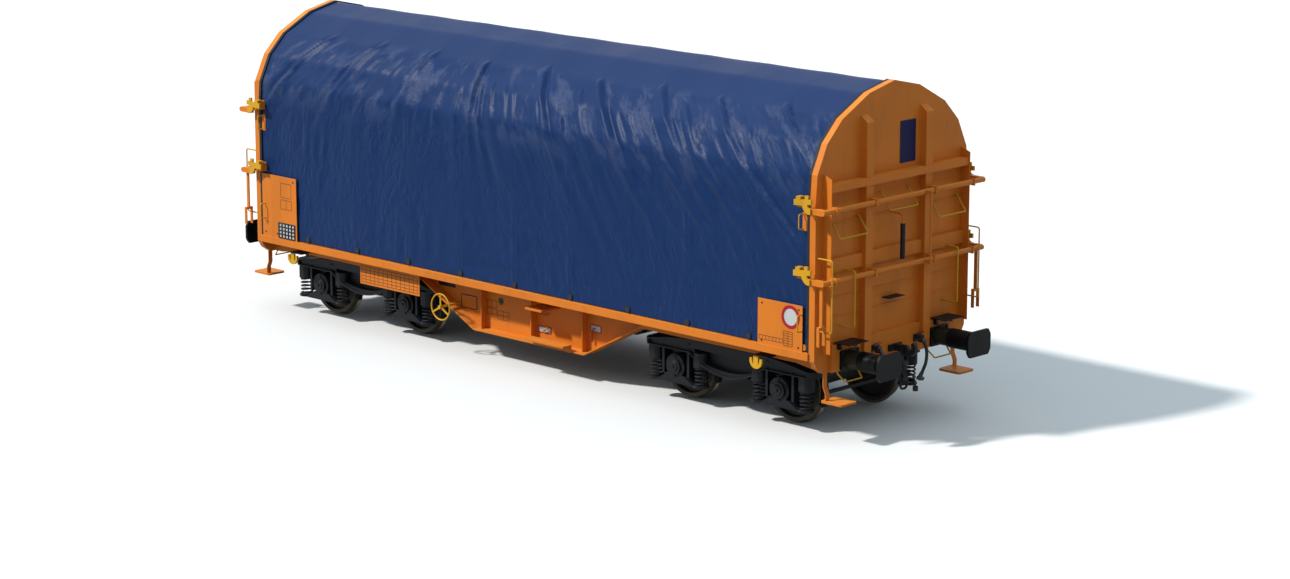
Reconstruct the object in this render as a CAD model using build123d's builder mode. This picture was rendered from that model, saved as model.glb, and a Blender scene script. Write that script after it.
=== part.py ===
from build123d import *
import os

os.makedirs("parts", exist_ok=True)

# Covered coil wagon on two bogies, in millimetres.
# X runs along the wagon, Y across it and Z up. The origin is below the wagon's middle, at the level of
# the wheel flanges' tips, on which the wagon stands when it is put on a flat floor.

# ---------------------------------------------------------------- driving dimensions: wheels and bogies
flange_depth = 28
wheel_radius = 460
rail_top = flange_depth
axle_z = rail_top + wheel_radius
wheelbase = 1800
pivot_pitch = 7000
pivot_x = pivot_pitch / 2
back_to_back = 1360
tyre_width = 135
flange_width = 32
hub_radius = 125
hub_length = 175
axle_radius = 80
journal_radius = 65
journal_y = 1000
journal_length = 190
running_clearance = 0.08
seat_gap = 0.3

# ---------------------------------------------------------------- driving dimensions: underframe
deck_half_length = 5225
sill_outer_y = 1489
sill_top = rail_top + 1135
edge_rail_height = 95
edge_rail_depth = 110
guide_rail_y = sill_outer_y - 82
plate = 10
web_y = 1050
web_plate = 14
sill_low_z = rail_top + 905
belly_low_z = rail_top + 362
belly_half_bottom = 1060
belly_half_top = 2110
flange_plate = 20
flange_out = 170
flange_in = 60
rib_pitch = 972
rib_depth = 105
rib_plate = 12
sill_face_y = web_y + flange_out
bolster_width = 420
bolster_low_z = rail_top + 928
bolster_height = 80
pivot_radius = 150
pivot_low_z = rail_top + 838

# ---------------------------------------------------------------- driving dimensions: end walls and hood
end_wall_x = deck_half_length + 90
end_wall_depth = 90
end_half_width = sill_outer_y - 24
arch_corners = [
    (end_half_width, 3060),
    (end_half_width - 25, 3367),
    (end_half_width - 201, 3732),
    (end_half_width - 477, 4005),
    (end_half_width - 982, 4269),
]
arch_crown = 4378
arch_bend_radius = 260
wall_plate = 8
headstock_x = end_wall_x + 55
headstock_low_z = rail_top + 866
headstock_top_z = rail_top + 1222
headstock_half_width = end_half_width - 265
headstock_plate = 15
block_top = rail_top + 1210
corner_flange_x = end_wall_x + 146
corner_flange_y = end_half_width - 125
corner_flange_top = rail_top + 3315
corner_flange_rise = 60
post_y = 572
post_width = 132
post_depth = 105
post_top = rail_top + 3930
post_low = rail_top + 1000
post_rise = 80
middle_beam_depth = 60
seal_depth = 45
hood_inset = 18
tarpaulin_plate = 6
tarpaulin_base = sill_top + 14
end_bow_x = deck_half_length - 90
bow_count = 9
bow_pitch = (end_bow_x - 919) / 4
bow_tube = 40
end_bow_tube = 70
bow_wall_depth = 34
knob_z = rail_top + 1194
knob_radius = 40
knob_stem = 12

# ---------------------------------------------------------------- driving dimensions: ends' fittings
buffer_face_x = headstock_x + 670
buffer_y = 875
buffer_z = rail_top + 995
lock_bar_x = end_wall_x + 190
lock_bar_radius = 34
lock_bar_half = sill_outer_y + 73
lock_bar_heights = (rail_top + 2940, rail_top + 2060)
grab_radius = 10
board_face_y = sill_outer_y - 12


def save(piece, name):
    """Labels a finished piece and writes its STEP file."""
    piece.label = name
    export_step(piece, f"parts/{name}.step")


def save_both_ends(piece, name):
    """The wagon's two ends are the same, so end b is end a turned about the upright through the middle."""
    save(piece, f"{name}_a")
    save(piece.rotate(Axis.Z, 180), f"{name}_b")


def rod(points, radius, bend):
    """Round bar along straight runs joined by bends of one radius."""
    with BuildPart() as bar:
        with BuildLine() as route:
            FilletPolyline(*points, radius=bend)
        with BuildSketch(Plane(origin=route.line @ 0, z_dir=route.line % 0)):
            Circle(radius)
        sweep()
    return bar.part


def arch_face(inset, base):
    """Face of the hood's cross-section, inset from the end wall's outline, from height base upward."""
    with BuildSketch(Plane.YZ) as section:
        with BuildLine():
            right = [(y, rail_top + z) for y, z in arch_corners]
            left = [(-y, z) for y, z in reversed(right)]
            foot = base - 400
            Polyline((end_half_width, foot), *right, (0, rail_top + arch_crown), *left,
                     (-end_half_width, foot), close=True)
        make_face()
        fillet(section.vertices().filter_by_position(Axis.Z, rail_top + 3000, rail_top + 4400), arch_bend_radius)
        if inset:
            offset(amount=-inset, kind=Kind.INTERSECTION)
        with Locations((0, base - 1000)):
            Rectangle(2 * end_half_width + 200, 2000, mode=Mode.SUBTRACT)
    return section.sketch


# ================================================================ wheelsets
with BuildPart() as wheelset:
    inner = back_to_back / 2
    hub_middle = inner + tyre_width / 2
    with BuildSketch(Plane.XY):
        with BuildLine():
            Polyline(
                (0, 0),
                (axle_radius, 0),
                (axle_radius + 12, hub_middle - hub_length / 2),
                (hub_radius, hub_middle - hub_length / 2),
                (hub_radius + 12, hub_middle - 45),
                (wheel_radius - 75, inner + 42),
                (wheel_radius - 60, inner),
                (wheel_radius + 8, inner),
                (wheel_radius + flange_depth, inner + 12),
                (wheel_radius + flange_depth, inner + 19),
                (wheel_radius, inner + flange_width + 6),
                (wheel_radius - 4, inner + tyre_width - 6),
                (wheel_radius - 10, inner + tyre_width),
                (wheel_radius - 60, inner + tyre_width),
                (wheel_radius - 75, inner + 78),
                (hub_radius + 12, hub_middle + 5),
                (hub_radius, hub_middle + hub_length / 2),
                (axle_radius, hub_middle + hub_length / 2),
                (axle_radius, journal_y - journal_length / 2),
                (journal_radius, journal_y - journal_length / 2),
                (journal_radius, journal_y + journal_length / 2),
                (0, journal_y + journal_length / 2),
                close=True,
            )
        make_face()
    revolve(axis=Axis.Y)
    mirror(about=Plane.XZ)
axle_xs = [end * pivot_x + side * wheelbase / 2 for end in (1, -1) for side in (1, -1)]
for number, axle_x in enumerate(axle_xs, 1):
    save(wheelset.part.moved(Location((axle_x, 0, axle_z))), f"wheelset_{number}")

# ================================================================ bogies, built about their own pivot
frame_y = 1000
frame_core = 120
frame_flange_width = 200
frame_ribbon = 16
frame_half_length = 1470
frame_half_width = frame_y + frame_flange_width / 2
frame_corner = 140
frame_top = rail_top + 858
frame_end_top = rail_top + 765
frame_low = rail_top + 680
frame_belly_half = 640
frame_belly_low = rail_top + 455
pocket_top = rail_top + 740
pocket_low = rail_top + 517
pocket_web = 20
end_beam_width = 100
transom_width = 480
transom_low = rail_top + 450
transom_top = rail_top + 750
spring_offset = 395
spring_coil = 80
spring_wire = 12
spring_pitch = 50
spring_seat = rail_top + 258
spring_top = rail_top + 560
cup_wall = 10
cup_radius = spring_coil + spring_wire + 6 + cup_wall
cup_low = spring_top - 60
horn_offset = 220
horn_low = rail_top + 340
spring_xs = [axle + offset for axle in (wheelbase / 2, -wheelbase / 2) for offset in (spring_offset, -spring_offset)]
horn_xs = [axle + offset for axle in (wheelbase / 2, -wheelbase / 2) for offset in (horn_offset, -horn_offset)]

with BuildSketch(Plane.XZ) as side_face:
    with BuildLine():
        Polyline(
            (frame_belly_half, frame_low),
            (frame_half_length, frame_low),
            (frame_half_length, frame_end_top),
            (frame_half_length - 75, frame_end_top),
            (1000, frame_top - 30),
            (700, frame_top),
            (-700, frame_top),
            (-1000, frame_top - 30),
            (75 - frame_half_length, frame_end_top),
            (-frame_half_length, frame_end_top),
            (-frame_half_length, frame_low),
            (-frame_belly_half, frame_low),
        )
        ThreePointArc((-frame_belly_half, frame_low), (0, frame_belly_low), (frame_belly_half, frame_low))
    make_face()
with BuildSketch(Plane.XZ) as side_ribbon:
    add(side_face.sketch)
    offset(side_face.sketch, amount=-frame_ribbon, kind=Kind.INTERSECTION, mode=Mode.SUBTRACT)
with BuildSketch(Plane.XZ) as side_pocket:
    with BuildLine():
        Polyline((-500, pocket_low + 103), (-590, pocket_top), (590, pocket_top), (500, pocket_low + 103))
        ThreePointArc((500, pocket_low + 103), (0, pocket_low), (-500, pocket_low + 103))
    make_face()

with BuildPart() as bogie_frame:
    core_in = frame_y - frame_core / 2
    extrude(side_face.sketch.moved(Location((0, core_in, 0))), amount=-frame_core)
    extrude(side_ribbon.sketch.moved(Location((0, frame_y - frame_flange_width / 2, 0))), amount=-frame_flange_width)
    extrude(side_pocket.sketch.moved(Location((0, core_in + pocket_web, 0))), amount=-frame_core, mode=Mode.SUBTRACT)
    with Locations(*[(spring_x, frame_y, spring_top) for spring_x in spring_xs]):
        Cylinder(cup_radius, frame_low + frame_ribbon - spring_top, align=(Align.CENTER, Align.CENTER, Align.MIN))
    with Locations(*[(spring_x, frame_y, spring_top) for spring_x in spring_xs]):
        Cylinder(cup_radius, spring_top - cup_low, align=(Align.CENTER, Align.CENTER, Align.MAX))
        Cylinder(cup_radius - cup_wall, spring_top - cup_low, align=(Align.CENTER, Align.CENTER, Align.MAX),
                 mode=Mode.SUBTRACT)
    with Locations(*[(horn_x, frame_y, horn_low) for horn_x in horn_xs]):
        Box(40, 140, frame_low + frame_ribbon - horn_low, align=(Align.CENTER, Align.CENTER, Align.MIN))
    mirror(about=Plane.XZ)
    for side in (1, -1):
        with Locations((side * (frame_half_length - end_beam_width / 2), 0, frame_low)):
            Box(end_beam_width, 2 * frame_half_width, frame_end_top - frame_low,
                align=(Align.CENTER, Align.CENTER, Align.MIN))
    with BuildSketch() as plan:
        RectangleRounded(2 * frame_half_length, 2 * frame_half_width, frame_corner)
    extrude(plan.sketch, amount=2 * frame_top, mode=Mode.INTERSECT)
    with Locations((0, 0, transom_low)):
        Box(transom_width, 2 * core_in, transom_top - transom_low, align=(Align.CENTER, Align.CENTER, Align.MIN))
    with Locations((0, 0, transom_top)):
        Cylinder(pivot_radius + 40, pivot_low_z - transom_top + 30, align=(Align.CENTER, Align.CENTER, Align.MIN))
    with Locations((0, 0, pivot_low_z - seat_gap)):
        Cylinder(pivot_radius + running_clearance, 60, align=(Align.CENTER, Align.CENTER, Align.MIN),
                 mode=Mode.SUBTRACT)
    with Locations((0, 850, transom_top), (0, -850, transom_top)):
        Box(300, 110, bolster_low_z - seat_gap - transom_top, align=(Align.CENTER, Align.CENTER, Align.MIN))

box_radius = 160
box_start = journal_y - 80
box_depth = 160
cover_radius = 105
wing_plate = 26
wing_width = 150
seat_radius = 107

with BuildPart() as spring:
    with BuildLine() as turns:
        Helix(spring_pitch, spring_top - seat_gap - spring_seat - 2 * spring_wire, spring_coil,
              center=(0, 0, spring_seat + spring_wire))
    with BuildSketch(Plane(origin=turns.line @ 0, z_dir=turns.line % 0)):
        Circle(spring_wire)
    sweep(is_frenet=True)
    for end_z in (spring_seat - 1, spring_top - seat_gap - spring_wire - 1):
        with BuildSketch(Plane.XY.offset(end_z)):
            Circle(spring_coil + spring_wire + 3)
            Circle(spring_coil - spring_wire - 3, mode=Mode.SUBTRACT)
        extrude(amount=spring_wire + 1)

with BuildPart() as axleboxes:
    for axle in (wheelbase / 2, -wheelbase / 2):
        with Locations(Location((axle, box_start, axle_z), (-90, 0, 0))):
            Cylinder(box_radius, box_depth, align=(Align.CENTER, Align.CENTER, Align.MIN))
        with BuildSketch(Plane.XZ.offset(-box_start)):
            with BuildLine():
                Polyline((axle - 300, spring_seat), (axle + 300, spring_seat), (axle + 150, spring_seat + 84),
                         (axle - 150, spring_seat + 84), close=True)
            make_face()
        extrude(amount=-box_depth)
        with BuildSketch(Plane.XY.offset(spring_seat)):
            with Locations((axle, journal_y)):
                Rectangle(2 * spring_offset, wing_width)
            with Locations((axle + spring_offset, journal_y), (axle - spring_offset, journal_y)):
                Circle(seat_radius)
        extrude(amount=-wing_plate)
        with Locations(Location((axle, box_start + box_depth, axle_z), (-90, 0, 0))):
            Cylinder(cover_radius, 30, align=(Align.CENTER, Align.CENTER, Align.MIN))
            Cone(cover_radius, 60, 48, align=(Align.CENTER, Align.CENTER, Align.MIN))
        with Locations(Location((axle, box_start - 5, axle_z), (-90, 0, 0))):
            Cylinder(journal_radius + running_clearance, journal_length - 5,
                     align=(Align.CENTER, Align.CENTER, Align.MIN), mode=Mode.SUBTRACT)
    for spring_x in spring_xs:
        add(spring.part.moved(Location((spring_x, journal_y, 0))))
    add(axleboxes.part.rotate(Axis.Z, 180))

with BuildPart() as brake_blocks:
    block_gap = 8
    with BuildSketch(Plane.XZ.offset(-back_to_back / 2 - 50)):
        for axle in (wheelbase / 2, -wheelbase / 2):
            for side in (1, -1):
                with BuildLine():
                    reach = wheel_radius + block_gap
                    start = 0 if side > 0 else 180
                    arc = CenterArc((axle, axle_z), reach, start - 22, 44)
                    back = CenterArc((axle, axle_z), reach + 60, start - 22, 44)
                    Line(arc @ 0, back @ 0)
                    Line(arc @ 1, back @ 1)
                make_face()
    extrude(amount=-78)
    mirror(about=Plane.XZ)
    block_back = wheel_radius + block_gap + 60
    block_y = back_to_back / 2 + 89
    for side in (1, -1):
        with Locations((side * (wheelbase / 2 - block_back + 4), 0, axle_z)):
            Box(34, 2 * block_y, 44)
        with Locations((side * (wheelbase / 2 + block_back - 4), 0, axle_z)):
            Box(34, 2 * block_y, 44)
        for hanger_y in (block_y, -block_y):
            with Locations((side * 240, hanger_y, axle_z + 70)):
                Box(150, 30, 40, align=(Align.MIN if side > 0 else Align.MAX, Align.CENTER, Align.MIN))
            with Locations((side * 1415, hanger_y, axle_z + 60)):
                Box(20, 30, frame_low - axle_z - 60, align=(Align.CENTER, Align.CENTER, Align.MIN))

for end, place in (("a", pivot_x), ("b", -pivot_x)):
    for piece, name in (
        (bogie_frame.part, "bogie_frame"),
        (axleboxes.part, "axleboxes"),
        (brake_blocks.part, "brake_blocks"),
    ):
        save(piece.moved(Location((place, 0, 0))), f"{name}_{end}")

# ================================================================ underframe
web_top = sill_top - plate
low_edge = [
    (deck_half_length, headstock_low_z),
    (deck_half_length - 145, headstock_low_z),
    (deck_half_length - 425, sill_low_z),
    (belly_half_top, sill_low_z),
    (belly_half_bottom, belly_low_z),
    (-belly_half_bottom, belly_low_z),
    (-belly_half_top, sill_low_z),
    (425 - deck_half_length, sill_low_z),
    (145 - deck_half_length, headstock_low_z),
    (-deck_half_length, headstock_low_z),
]
with BuildPart() as side_sill:
    with BuildSketch(Plane.XZ.offset(web_y)):
        with BuildLine():
            Polyline(*low_edge, (-deck_half_length, web_top), (deck_half_length, web_top), close=True)
        make_face()
    extrude(amount=-web_plate)
    with BuildSketch(Plane.XZ.offset(sill_face_y)):
        with BuildLine():
            Polyline(*low_edge, *[(x, z + flange_plate) for x, z in reversed(low_edge)], close=True)
        make_face()
    extrude(amount=-flange_out - flange_in)
    with BuildSketch(Plane.XZ.offset(sill_face_y)):
        with Locations((0, web_top - plate)):
            Rectangle(2 * deck_half_length, 2 * plate)
    extrude(amount=-flange_out - flange_in)
    with BuildSketch(Plane.XZ.offset(sill_face_y)):
        with BuildLine():
            Polyline(*low_edge, (-deck_half_length, web_top), (deck_half_length, web_top), close=True)
        make_face()
        with Locations((0, (belly_low_z + web_top) / 2)):
            Rectangle(2 * belly_half_top, 2 * (web_top - belly_low_z), mode=Mode.SUBTRACT)
    extrude(amount=-plate)
    for closing_x in (belly_half_top + plate / 2, -belly_half_top - plate / 2):
        with Locations((closing_x, -web_y, sill_low_z)):
            Box(plate, flange_out, web_top - sill_low_z, align=(Align.CENTER, Align.MAX, Align.MIN))
    for rib_x in (-rib_pitch, 0, rib_pitch):
        with Locations((rib_x, -web_y, belly_low_z)):
            Box(rib_plate, rib_depth, web_top - belly_low_z, align=(Align.CENTER, Align.MAX, Align.MIN))
save(side_sill.part, "side_sill_right")
save(side_sill.part.rotate(Axis.Z, 180), "side_sill_left")

# Deck edge: the strip of deck outside each sill, with its deep outer rail and the hood's sliding rail on top.
deck_inner_y = web_y - flange_in
deck_outer_y = sill_outer_y - edge_rail_depth
with BuildPart() as deck_edges:
    with BuildSketch(Plane.YZ.offset(-deck_half_length)):
        with Locations((sill_outer_y - 4, sill_top - edge_rail_height / 2)):
            Rectangle(8, edge_rail_height)
        with Locations((sill_outer_y - edge_rail_depth / 2, sill_top - 4)):
            Rectangle(edge_rail_depth, 8)
        with Locations((guide_rail_y, sill_top + 3)):
            Rectangle(44, 6)
        with Locations(((deck_inner_y + deck_outer_y) / 2, sill_top - plate / 2)):
            Rectangle(deck_outer_y - deck_inner_y, plate)
    extrude(amount=2 * deck_half_length)
    mirror(about=Plane.XZ)
save(deck_edges.part, "deck_edges")

# Load bed: one folded plate with five troughs across the wagon, the middle one deep in the belly.
ridge_z = rail_top + 1330
outer_trough_z = rail_top + 1005
middle_trough_z = rail_top + 520
trough_pitch = (deck_half_length - 1325) / 2
outer_trough_half = 620
middle_trough_half = 900
outer_trough_flat = 150
middle_trough_flat = 220
bed_plate = 12
bed_ramp = 110
bed_profile = [(0, middle_trough_z), (middle_trough_flat, middle_trough_z), (middle_trough_half, ridge_z)]
for trough_x in (trough_pitch, 2 * trough_pitch):
    bed_profile += [
        (trough_x - outer_trough_half, ridge_z),
        (trough_x - outer_trough_flat, outer_trough_z),
        (trough_x + outer_trough_flat, outer_trough_z),
        (trough_x + outer_trough_half, ridge_z),
    ]
bed_profile += [
    (2 * trough_pitch + outer_trough_half + 40, ridge_z),
    (2 * trough_pitch + outer_trough_half + 40 + bed_ramp, sill_top),
    (deck_half_length, sill_top),
]
with BuildPart() as load_bed:
    with BuildSketch(Plane.XZ.offset(-deck_inner_y)):
        with BuildLine():
            Polyline(*bed_profile, *[(x, z - bed_plate) for x, z in reversed(bed_profile)], close=True)
        make_face()
        mirror(about=Plane.YZ)
    extrude(amount=2 * deck_inner_y)
save(load_bed.part, "load_bed")

cross_low_z = rail_top + 985
ridge_middles = (
    (middle_trough_half + trough_pitch - outer_trough_half) / 2,
    1.5 * trough_pitch,
)
outrigger_pitch = (deck_half_length - 545) / 4.5
outrigger_plate = 12
with BuildPart() as cross_members:
    for ridge_x in ridge_middles:
        for side in (1, -1):
            with Locations((side * ridge_x, 0, cross_low_z)):
                Box(200, 2 * deck_inner_y, ridge_z - bed_plate - cross_low_z,
                    align=(Align.CENTER, Align.CENTER, Align.MIN))
    for step in (0.5, 1.5, 2.5, 3.5, 4.5):
        outrigger_x = step * outrigger_pitch
        on_belly = outrigger_x < belly_half_top
        with BuildSketch(Plane.YZ) as outrigger:
            with BuildLine():
                Polyline(
                    (sill_face_y, rail_top + 990),
                    (sill_outer_y - 8, sill_top - 70),
                    (sill_outer_y - 8, sill_top - 8),
                    (deck_outer_y, sill_top - 8),
                    (deck_outer_y, sill_top - plate),
                    (sill_face_y, sill_top - plate),
                    close=True,
                )
            make_face()
            if on_belly:
                with BuildLine():
                    Polyline((web_y, rail_top + 930), (sill_face_y, rail_top + 990), (sill_face_y, web_top - 2 * plate),
                             (web_y, web_top - 2 * plate), close=True)
                make_face()
            mirror(about=Plane.YZ)
        for side in (1, -1):
            place = side * outrigger_x - outrigger_plate / 2
            extrude(outrigger.sketch.moved(Location((place, 0, 0))), amount=outrigger_plate)
save(cross_members.part, "cross_members")

with BuildPart() as bolsters:
    with Locations((pivot_x, 0, bolster_low_z), (-pivot_x, 0, bolster_low_z)):
        Box(bolster_width, 2 * (web_y - web_plate), bolster_height, align=(Align.CENTER, Align.CENTER, Align.MIN))
        Cylinder(pivot_radius, bolster_low_z - pivot_low_z, align=(Align.CENTER, Align.CENTER, Align.MAX))
save(bolsters.part, "bolsters")

with BuildPart() as headstock:
    with BuildSketch(Plane.YZ.offset(deck_half_length)) as foot_face:
        with BuildLine():
            Polyline(
                (end_half_width, sill_top),
                (end_half_width, rail_top + 1036),
                (end_half_width - 55, rail_top + 940),
                (end_half_width - 165, headstock_low_z),
                (165 - end_half_width, headstock_low_z),
                (55 - end_half_width, rail_top + 940),
                (-end_half_width, rail_top + 1036),
                (-end_half_width, sill_top),
                close=True,
            )
        make_face()
    extrude(amount=end_wall_x - deck_half_length)
    with Locations((end_wall_x, 0, headstock_low_z)):
        Box(headstock_x - end_wall_x, 2 * headstock_half_width, sill_top - headstock_low_z,
            align=(Align.MIN, Align.CENTER, Align.MIN))
    with Locations((deck_half_length, 0, headstock_low_z + headstock_plate)):
        Box(headstock_x - deck_half_length - headstock_plate, 2 * headstock_half_width - 50,
            sill_top - headstock_low_z - 2 * headstock_plate, align=(Align.MIN, Align.CENTER, Align.MIN),
            mode=Mode.SUBTRACT)
    with Locations((end_wall_x, 0, sill_top)):
        Box(headstock_x - end_wall_x, 2 * (post_y - post_width / 2), headstock_top_z - sill_top,
            align=(Align.MIN, Align.CENTER, Align.MIN))
    block_inner_y = post_y + post_width / 2 + 17
    for side in (1, -1):
        with Locations((end_wall_x, side * (block_inner_y + headstock_half_width) / 2, sill_top)):
            Box(headstock_x - end_wall_x, headstock_half_width - block_inner_y, block_top - sill_top,
                align=(Align.MIN, Align.CENTER, Align.MIN))
save_both_ends(headstock.part, "headstock")

# ================================================================ end walls
with BuildPart() as end_wall:
    wall_face = arch_face(0, sill_top)
    inner_face = arch_face(wall_plate, sill_top)
    extrude(wall_face.moved(Location((end_wall_x - end_wall_depth, 0, 0))), amount=end_wall_depth)
    extrude(inner_face.moved(Location((end_wall_x - end_wall_depth, 0, 0))), amount=end_wall_depth - wall_plate,
            mode=Mode.SUBTRACT)
save_both_ends(end_wall.part, "end_wall")

with BuildPart() as end_frame:
    with BuildSketch(Plane.XZ.offset(corner_flange_y - 8)):
        with BuildLine():
            Polyline(
                (end_wall_x, sill_top),
                (corner_flange_x, sill_top),
                (corner_flange_x, corner_flange_top),
                (end_wall_x, corner_flange_top + corner_flange_rise),
                close=True,
            )
        make_face()
    extrude(amount=8)
    with BuildSketch(Plane.XZ.offset(post_y - post_width / 2)):
        with BuildLine():
            Polyline(
                (end_wall_x, sill_top),
                (headstock_x, sill_top),
                (headstock_x, post_low),
                (end_wall_x + post_depth, post_low),
                (end_wall_x + post_depth, post_top),
                (end_wall_x, post_top + post_rise),
                close=True,
            )
        make_face()
    extrude(amount=post_width)
    mirror(about=Plane.XZ)
    channel_low = rail_top + 3148
    with Locations((end_wall_x, 0, channel_low)):
        Box(post_depth + 20, 2 * (corner_flange_y - 8), 94, align=(Align.MIN, Align.CENTER, Align.MIN))
    with Locations((end_wall_x, 0, rail_top + 2130)):
        Box(middle_beam_depth, 2 * (corner_flange_y - 8), 168, align=(Align.MIN, Align.CENTER, Align.MIN))
    for rib_z in (2730, 1800, 1555):
        with Locations((end_wall_x, 0, rail_top + rib_z)):
            Box(14, 2 * (corner_flange_y - 8), 12, align=(Align.MIN, Align.CENTER, Align.MIN))
    for bar_z in lock_bar_heights:
        for side in (1, -1):
            with Locations((end_wall_x + post_depth, side * post_y, bar_z)):
                Box(lock_bar_x - end_wall_x - post_depth + 46, 36, 92, align=(Align.MIN, Align.CENTER, Align.CENTER))
            with Locations((corner_flange_x - 30, side * (corner_flange_y - 10), bar_z)):
                Box(lock_bar_x - corner_flange_x + 76, 20, 92, align=(Align.MIN, Align.CENTER, Align.CENTER))
        with Locations(Location((lock_bar_x, 0, bar_z), (90, 0, 0))):
            Cylinder(lock_bar_radius + seat_gap, 2 * lock_bar_half, mode=Mode.SUBTRACT)
save_both_ends(end_frame.part, "end_frame")

seal_face = arch_face(0, sill_top + 8)
seal_hole = arch_face(hood_inset + 30, sill_top - 100)
with BuildPart() as end_seals:
    extrude(seal_face.moved(Location((end_wall_x - end_wall_depth - seal_depth, 0, 0))), amount=seal_depth)
    extrude(seal_hole.moved(Location((end_wall_x - end_wall_depth - seal_depth, 0, 0))), amount=seal_depth,
            mode=Mode.SUBTRACT)
    mirror(about=Plane.YZ)
save(end_seals.part, "end_seals")

# ================================================================ sliding hood
hood_half_length = end_wall_x - end_wall_depth - seal_depth - 6
bow_xs = [(step - (bow_count - 1) / 2) * bow_pitch for step in range(bow_count)]
knob_xs = [-end_bow_x, *bow_xs, end_bow_x]
hood_side_y = end_half_width - hood_inset
handle_stud_heights = (rail_top + 2830, rail_top + 2720)
block_size = (80, 120)
block_out = 106
block_heights = (rail_top + 3030, rail_top + 2140)
neck = 44

with BuildPart() as cover_tarpaulin:
    extrude(arch_face(hood_inset, tarpaulin_base).moved(Location((-hood_half_length, 0, 0))),
            amount=2 * hood_half_length)
    extrude(arch_face(hood_inset + tarpaulin_plate, tarpaulin_base - 50).moved(Location((-hood_half_length, 0, 0))),
            amount=2 * hood_half_length, mode=Mode.SUBTRACT)
    for knob_x in knob_xs:
        with Locations(Location((knob_x, 0, knob_z), (90, 0, 0))):
            Cylinder(knob_stem + 3, 2 * end_half_width, mode=Mode.SUBTRACT)
    for end in (1, -1):
        for block_z in block_heights:
            with Locations((end * end_bow_x, 0, block_z)):
                Box(neck + 10, 2 * end_half_width, neck + 10, mode=Mode.SUBTRACT)
        for stud_z in handle_stud_heights:
            with Locations((end * end_bow_x, 0, stud_z)):
                Box(24, 2 * end_half_width, 24, mode=Mode.SUBTRACT)
save(cover_tarpaulin.part, "cover_tarpaulin")


def hood_bow(width, depth):
    """Bow that carries the tarpaulin, with its sliding feet and the outer tension knobs on their stems."""
    outside = hood_inset + tarpaulin_plate + seat_gap
    with BuildPart() as bow:
        extrude(arch_face(outside, sill_top + 60).moved(Location((-width / 2, 0, 0))), amount=width)
        extrude(arch_face(outside + depth, sill_top - 100).moved(Location((-width / 2, 0, 0))), amount=width,
                mode=Mode.SUBTRACT)
        for side in (1, -1):
            with Locations((0, side * guide_rail_y, sill_top + 6 + seat_gap)):
                Box(2 * bow_tube, 40, 70, align=(Align.CENTER, Align.CENTER, Align.MIN))
            with Locations(Location((0, side * (hood_side_y - 18), knob_z), (90, 0, 0))):
                Cylinder(knob_stem, 50)
            with Locations(Location((0, side * (hood_side_y + 8), knob_z), (90, 0, 0))):
                Cylinder(knob_radius, 14)
    return bow.part


def hood_end_bow():
    """End bow: the same bow in a deeper tube, with the blocks that the locking claws hold at each side."""
    with BuildPart() as bow:
        add(hood_bow(end_bow_tube, bow_wall_depth))
        for side in (1, -1):
            for block_z in block_heights:
                with Locations((0, side * (hood_side_y - 12), block_z)):
                    Box(neck, 60, neck)
                with Locations((0, side * (hood_side_y + block_out / 2), block_z)):
                    Box(block_size[0], block_out, block_size[1])
            with Locations((0, side * (hood_side_y + 4), sum(handle_stud_heights) / 2)):
                Box(block_size[0], 6, 230)
            for stud_z in handle_stud_heights:
                with Locations((0, side * (hood_side_y - 8), stud_z)):
                    Box(16, 26, 16)
            grip_y = hood_side_y + 90
            grip_x = -28
            low, high = rail_top + 2680, rail_top + 2870
            add(rod([(grip_x, side * (hood_side_y + 3), high), (grip_x, side * grip_y, high),
                     (grip_x, side * grip_y, low), (grip_x, side * (hood_side_y + 3), low)], grab_radius - 2, 26))
    return bow.part


end_bow = hood_end_bow()
save(end_bow.moved(Location((end_bow_x, 0, 0))), "cover_end_bow_a")
save(end_bow.moved(Location((-end_bow_x, 0, 0))), "cover_end_bow_b")
middle_bow = hood_bow(bow_tube, bow_wall_depth)
for number, bow_x in enumerate(bow_xs, 1):
    save(middle_bow.moved(Location((bow_x, 0, 0))), f"cover_bow_{number}")

# ================================================================ locking gear on the end walls
arm_width = 62
arm_height = 72
arm_back_x = lock_bar_x - 215
claw_plate = 26
lever_x = lock_bar_x - 50
lever_y = lock_bar_half - 57
crank_y = 380
crank_reach = 130
with BuildPart() as lock_bars:
    for bar_z in lock_bar_heights:
        with Locations(Location((lock_bar_x, 0, bar_z), (90, 0, 0))):
            Cylinder(lock_bar_radius, 2 * lock_bar_half)
        for side in (1, -1):
            with Locations((arm_back_x, side * (lock_bar_half - arm_width / 2), bar_z)):
                Box(lock_bar_x - arm_back_x, arm_width, arm_height, align=(Align.MIN, Align.CENTER, Align.CENTER))
        with Locations((lock_bar_x, crank_y, bar_z)):
            Box(crank_reach, 22, 50, align=(Align.MIN, Align.CENTER, Align.CENTER))
    with Locations((lock_bar_x + crank_reach - 18, crank_y, sum(lock_bar_heights) / 2)):
        Cylinder(13, lock_bar_heights[0] - lock_bar_heights[1])
    for side in (1, -1):
        with BuildSketch(Plane.YZ.offset(lever_x - 22)) as lever:
            fork_top = rail_top + 1500
            with Locations((side * lever_y, (fork_top + lock_bar_heights[1]) / 2)):
                Rectangle(20, lock_bar_heights[1] - fork_top)
            with Locations((side * lever_y, fork_top)):
                Rectangle(118, 30)
            with Locations((side * (lever_y - 52), fork_top - 115), (side * (lever_y + 52), fork_top - 115)):
                Rectangle(14, 230)
        extrude(amount=45)
save_both_ends(lock_bars.part, "lock_bars")

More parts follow.
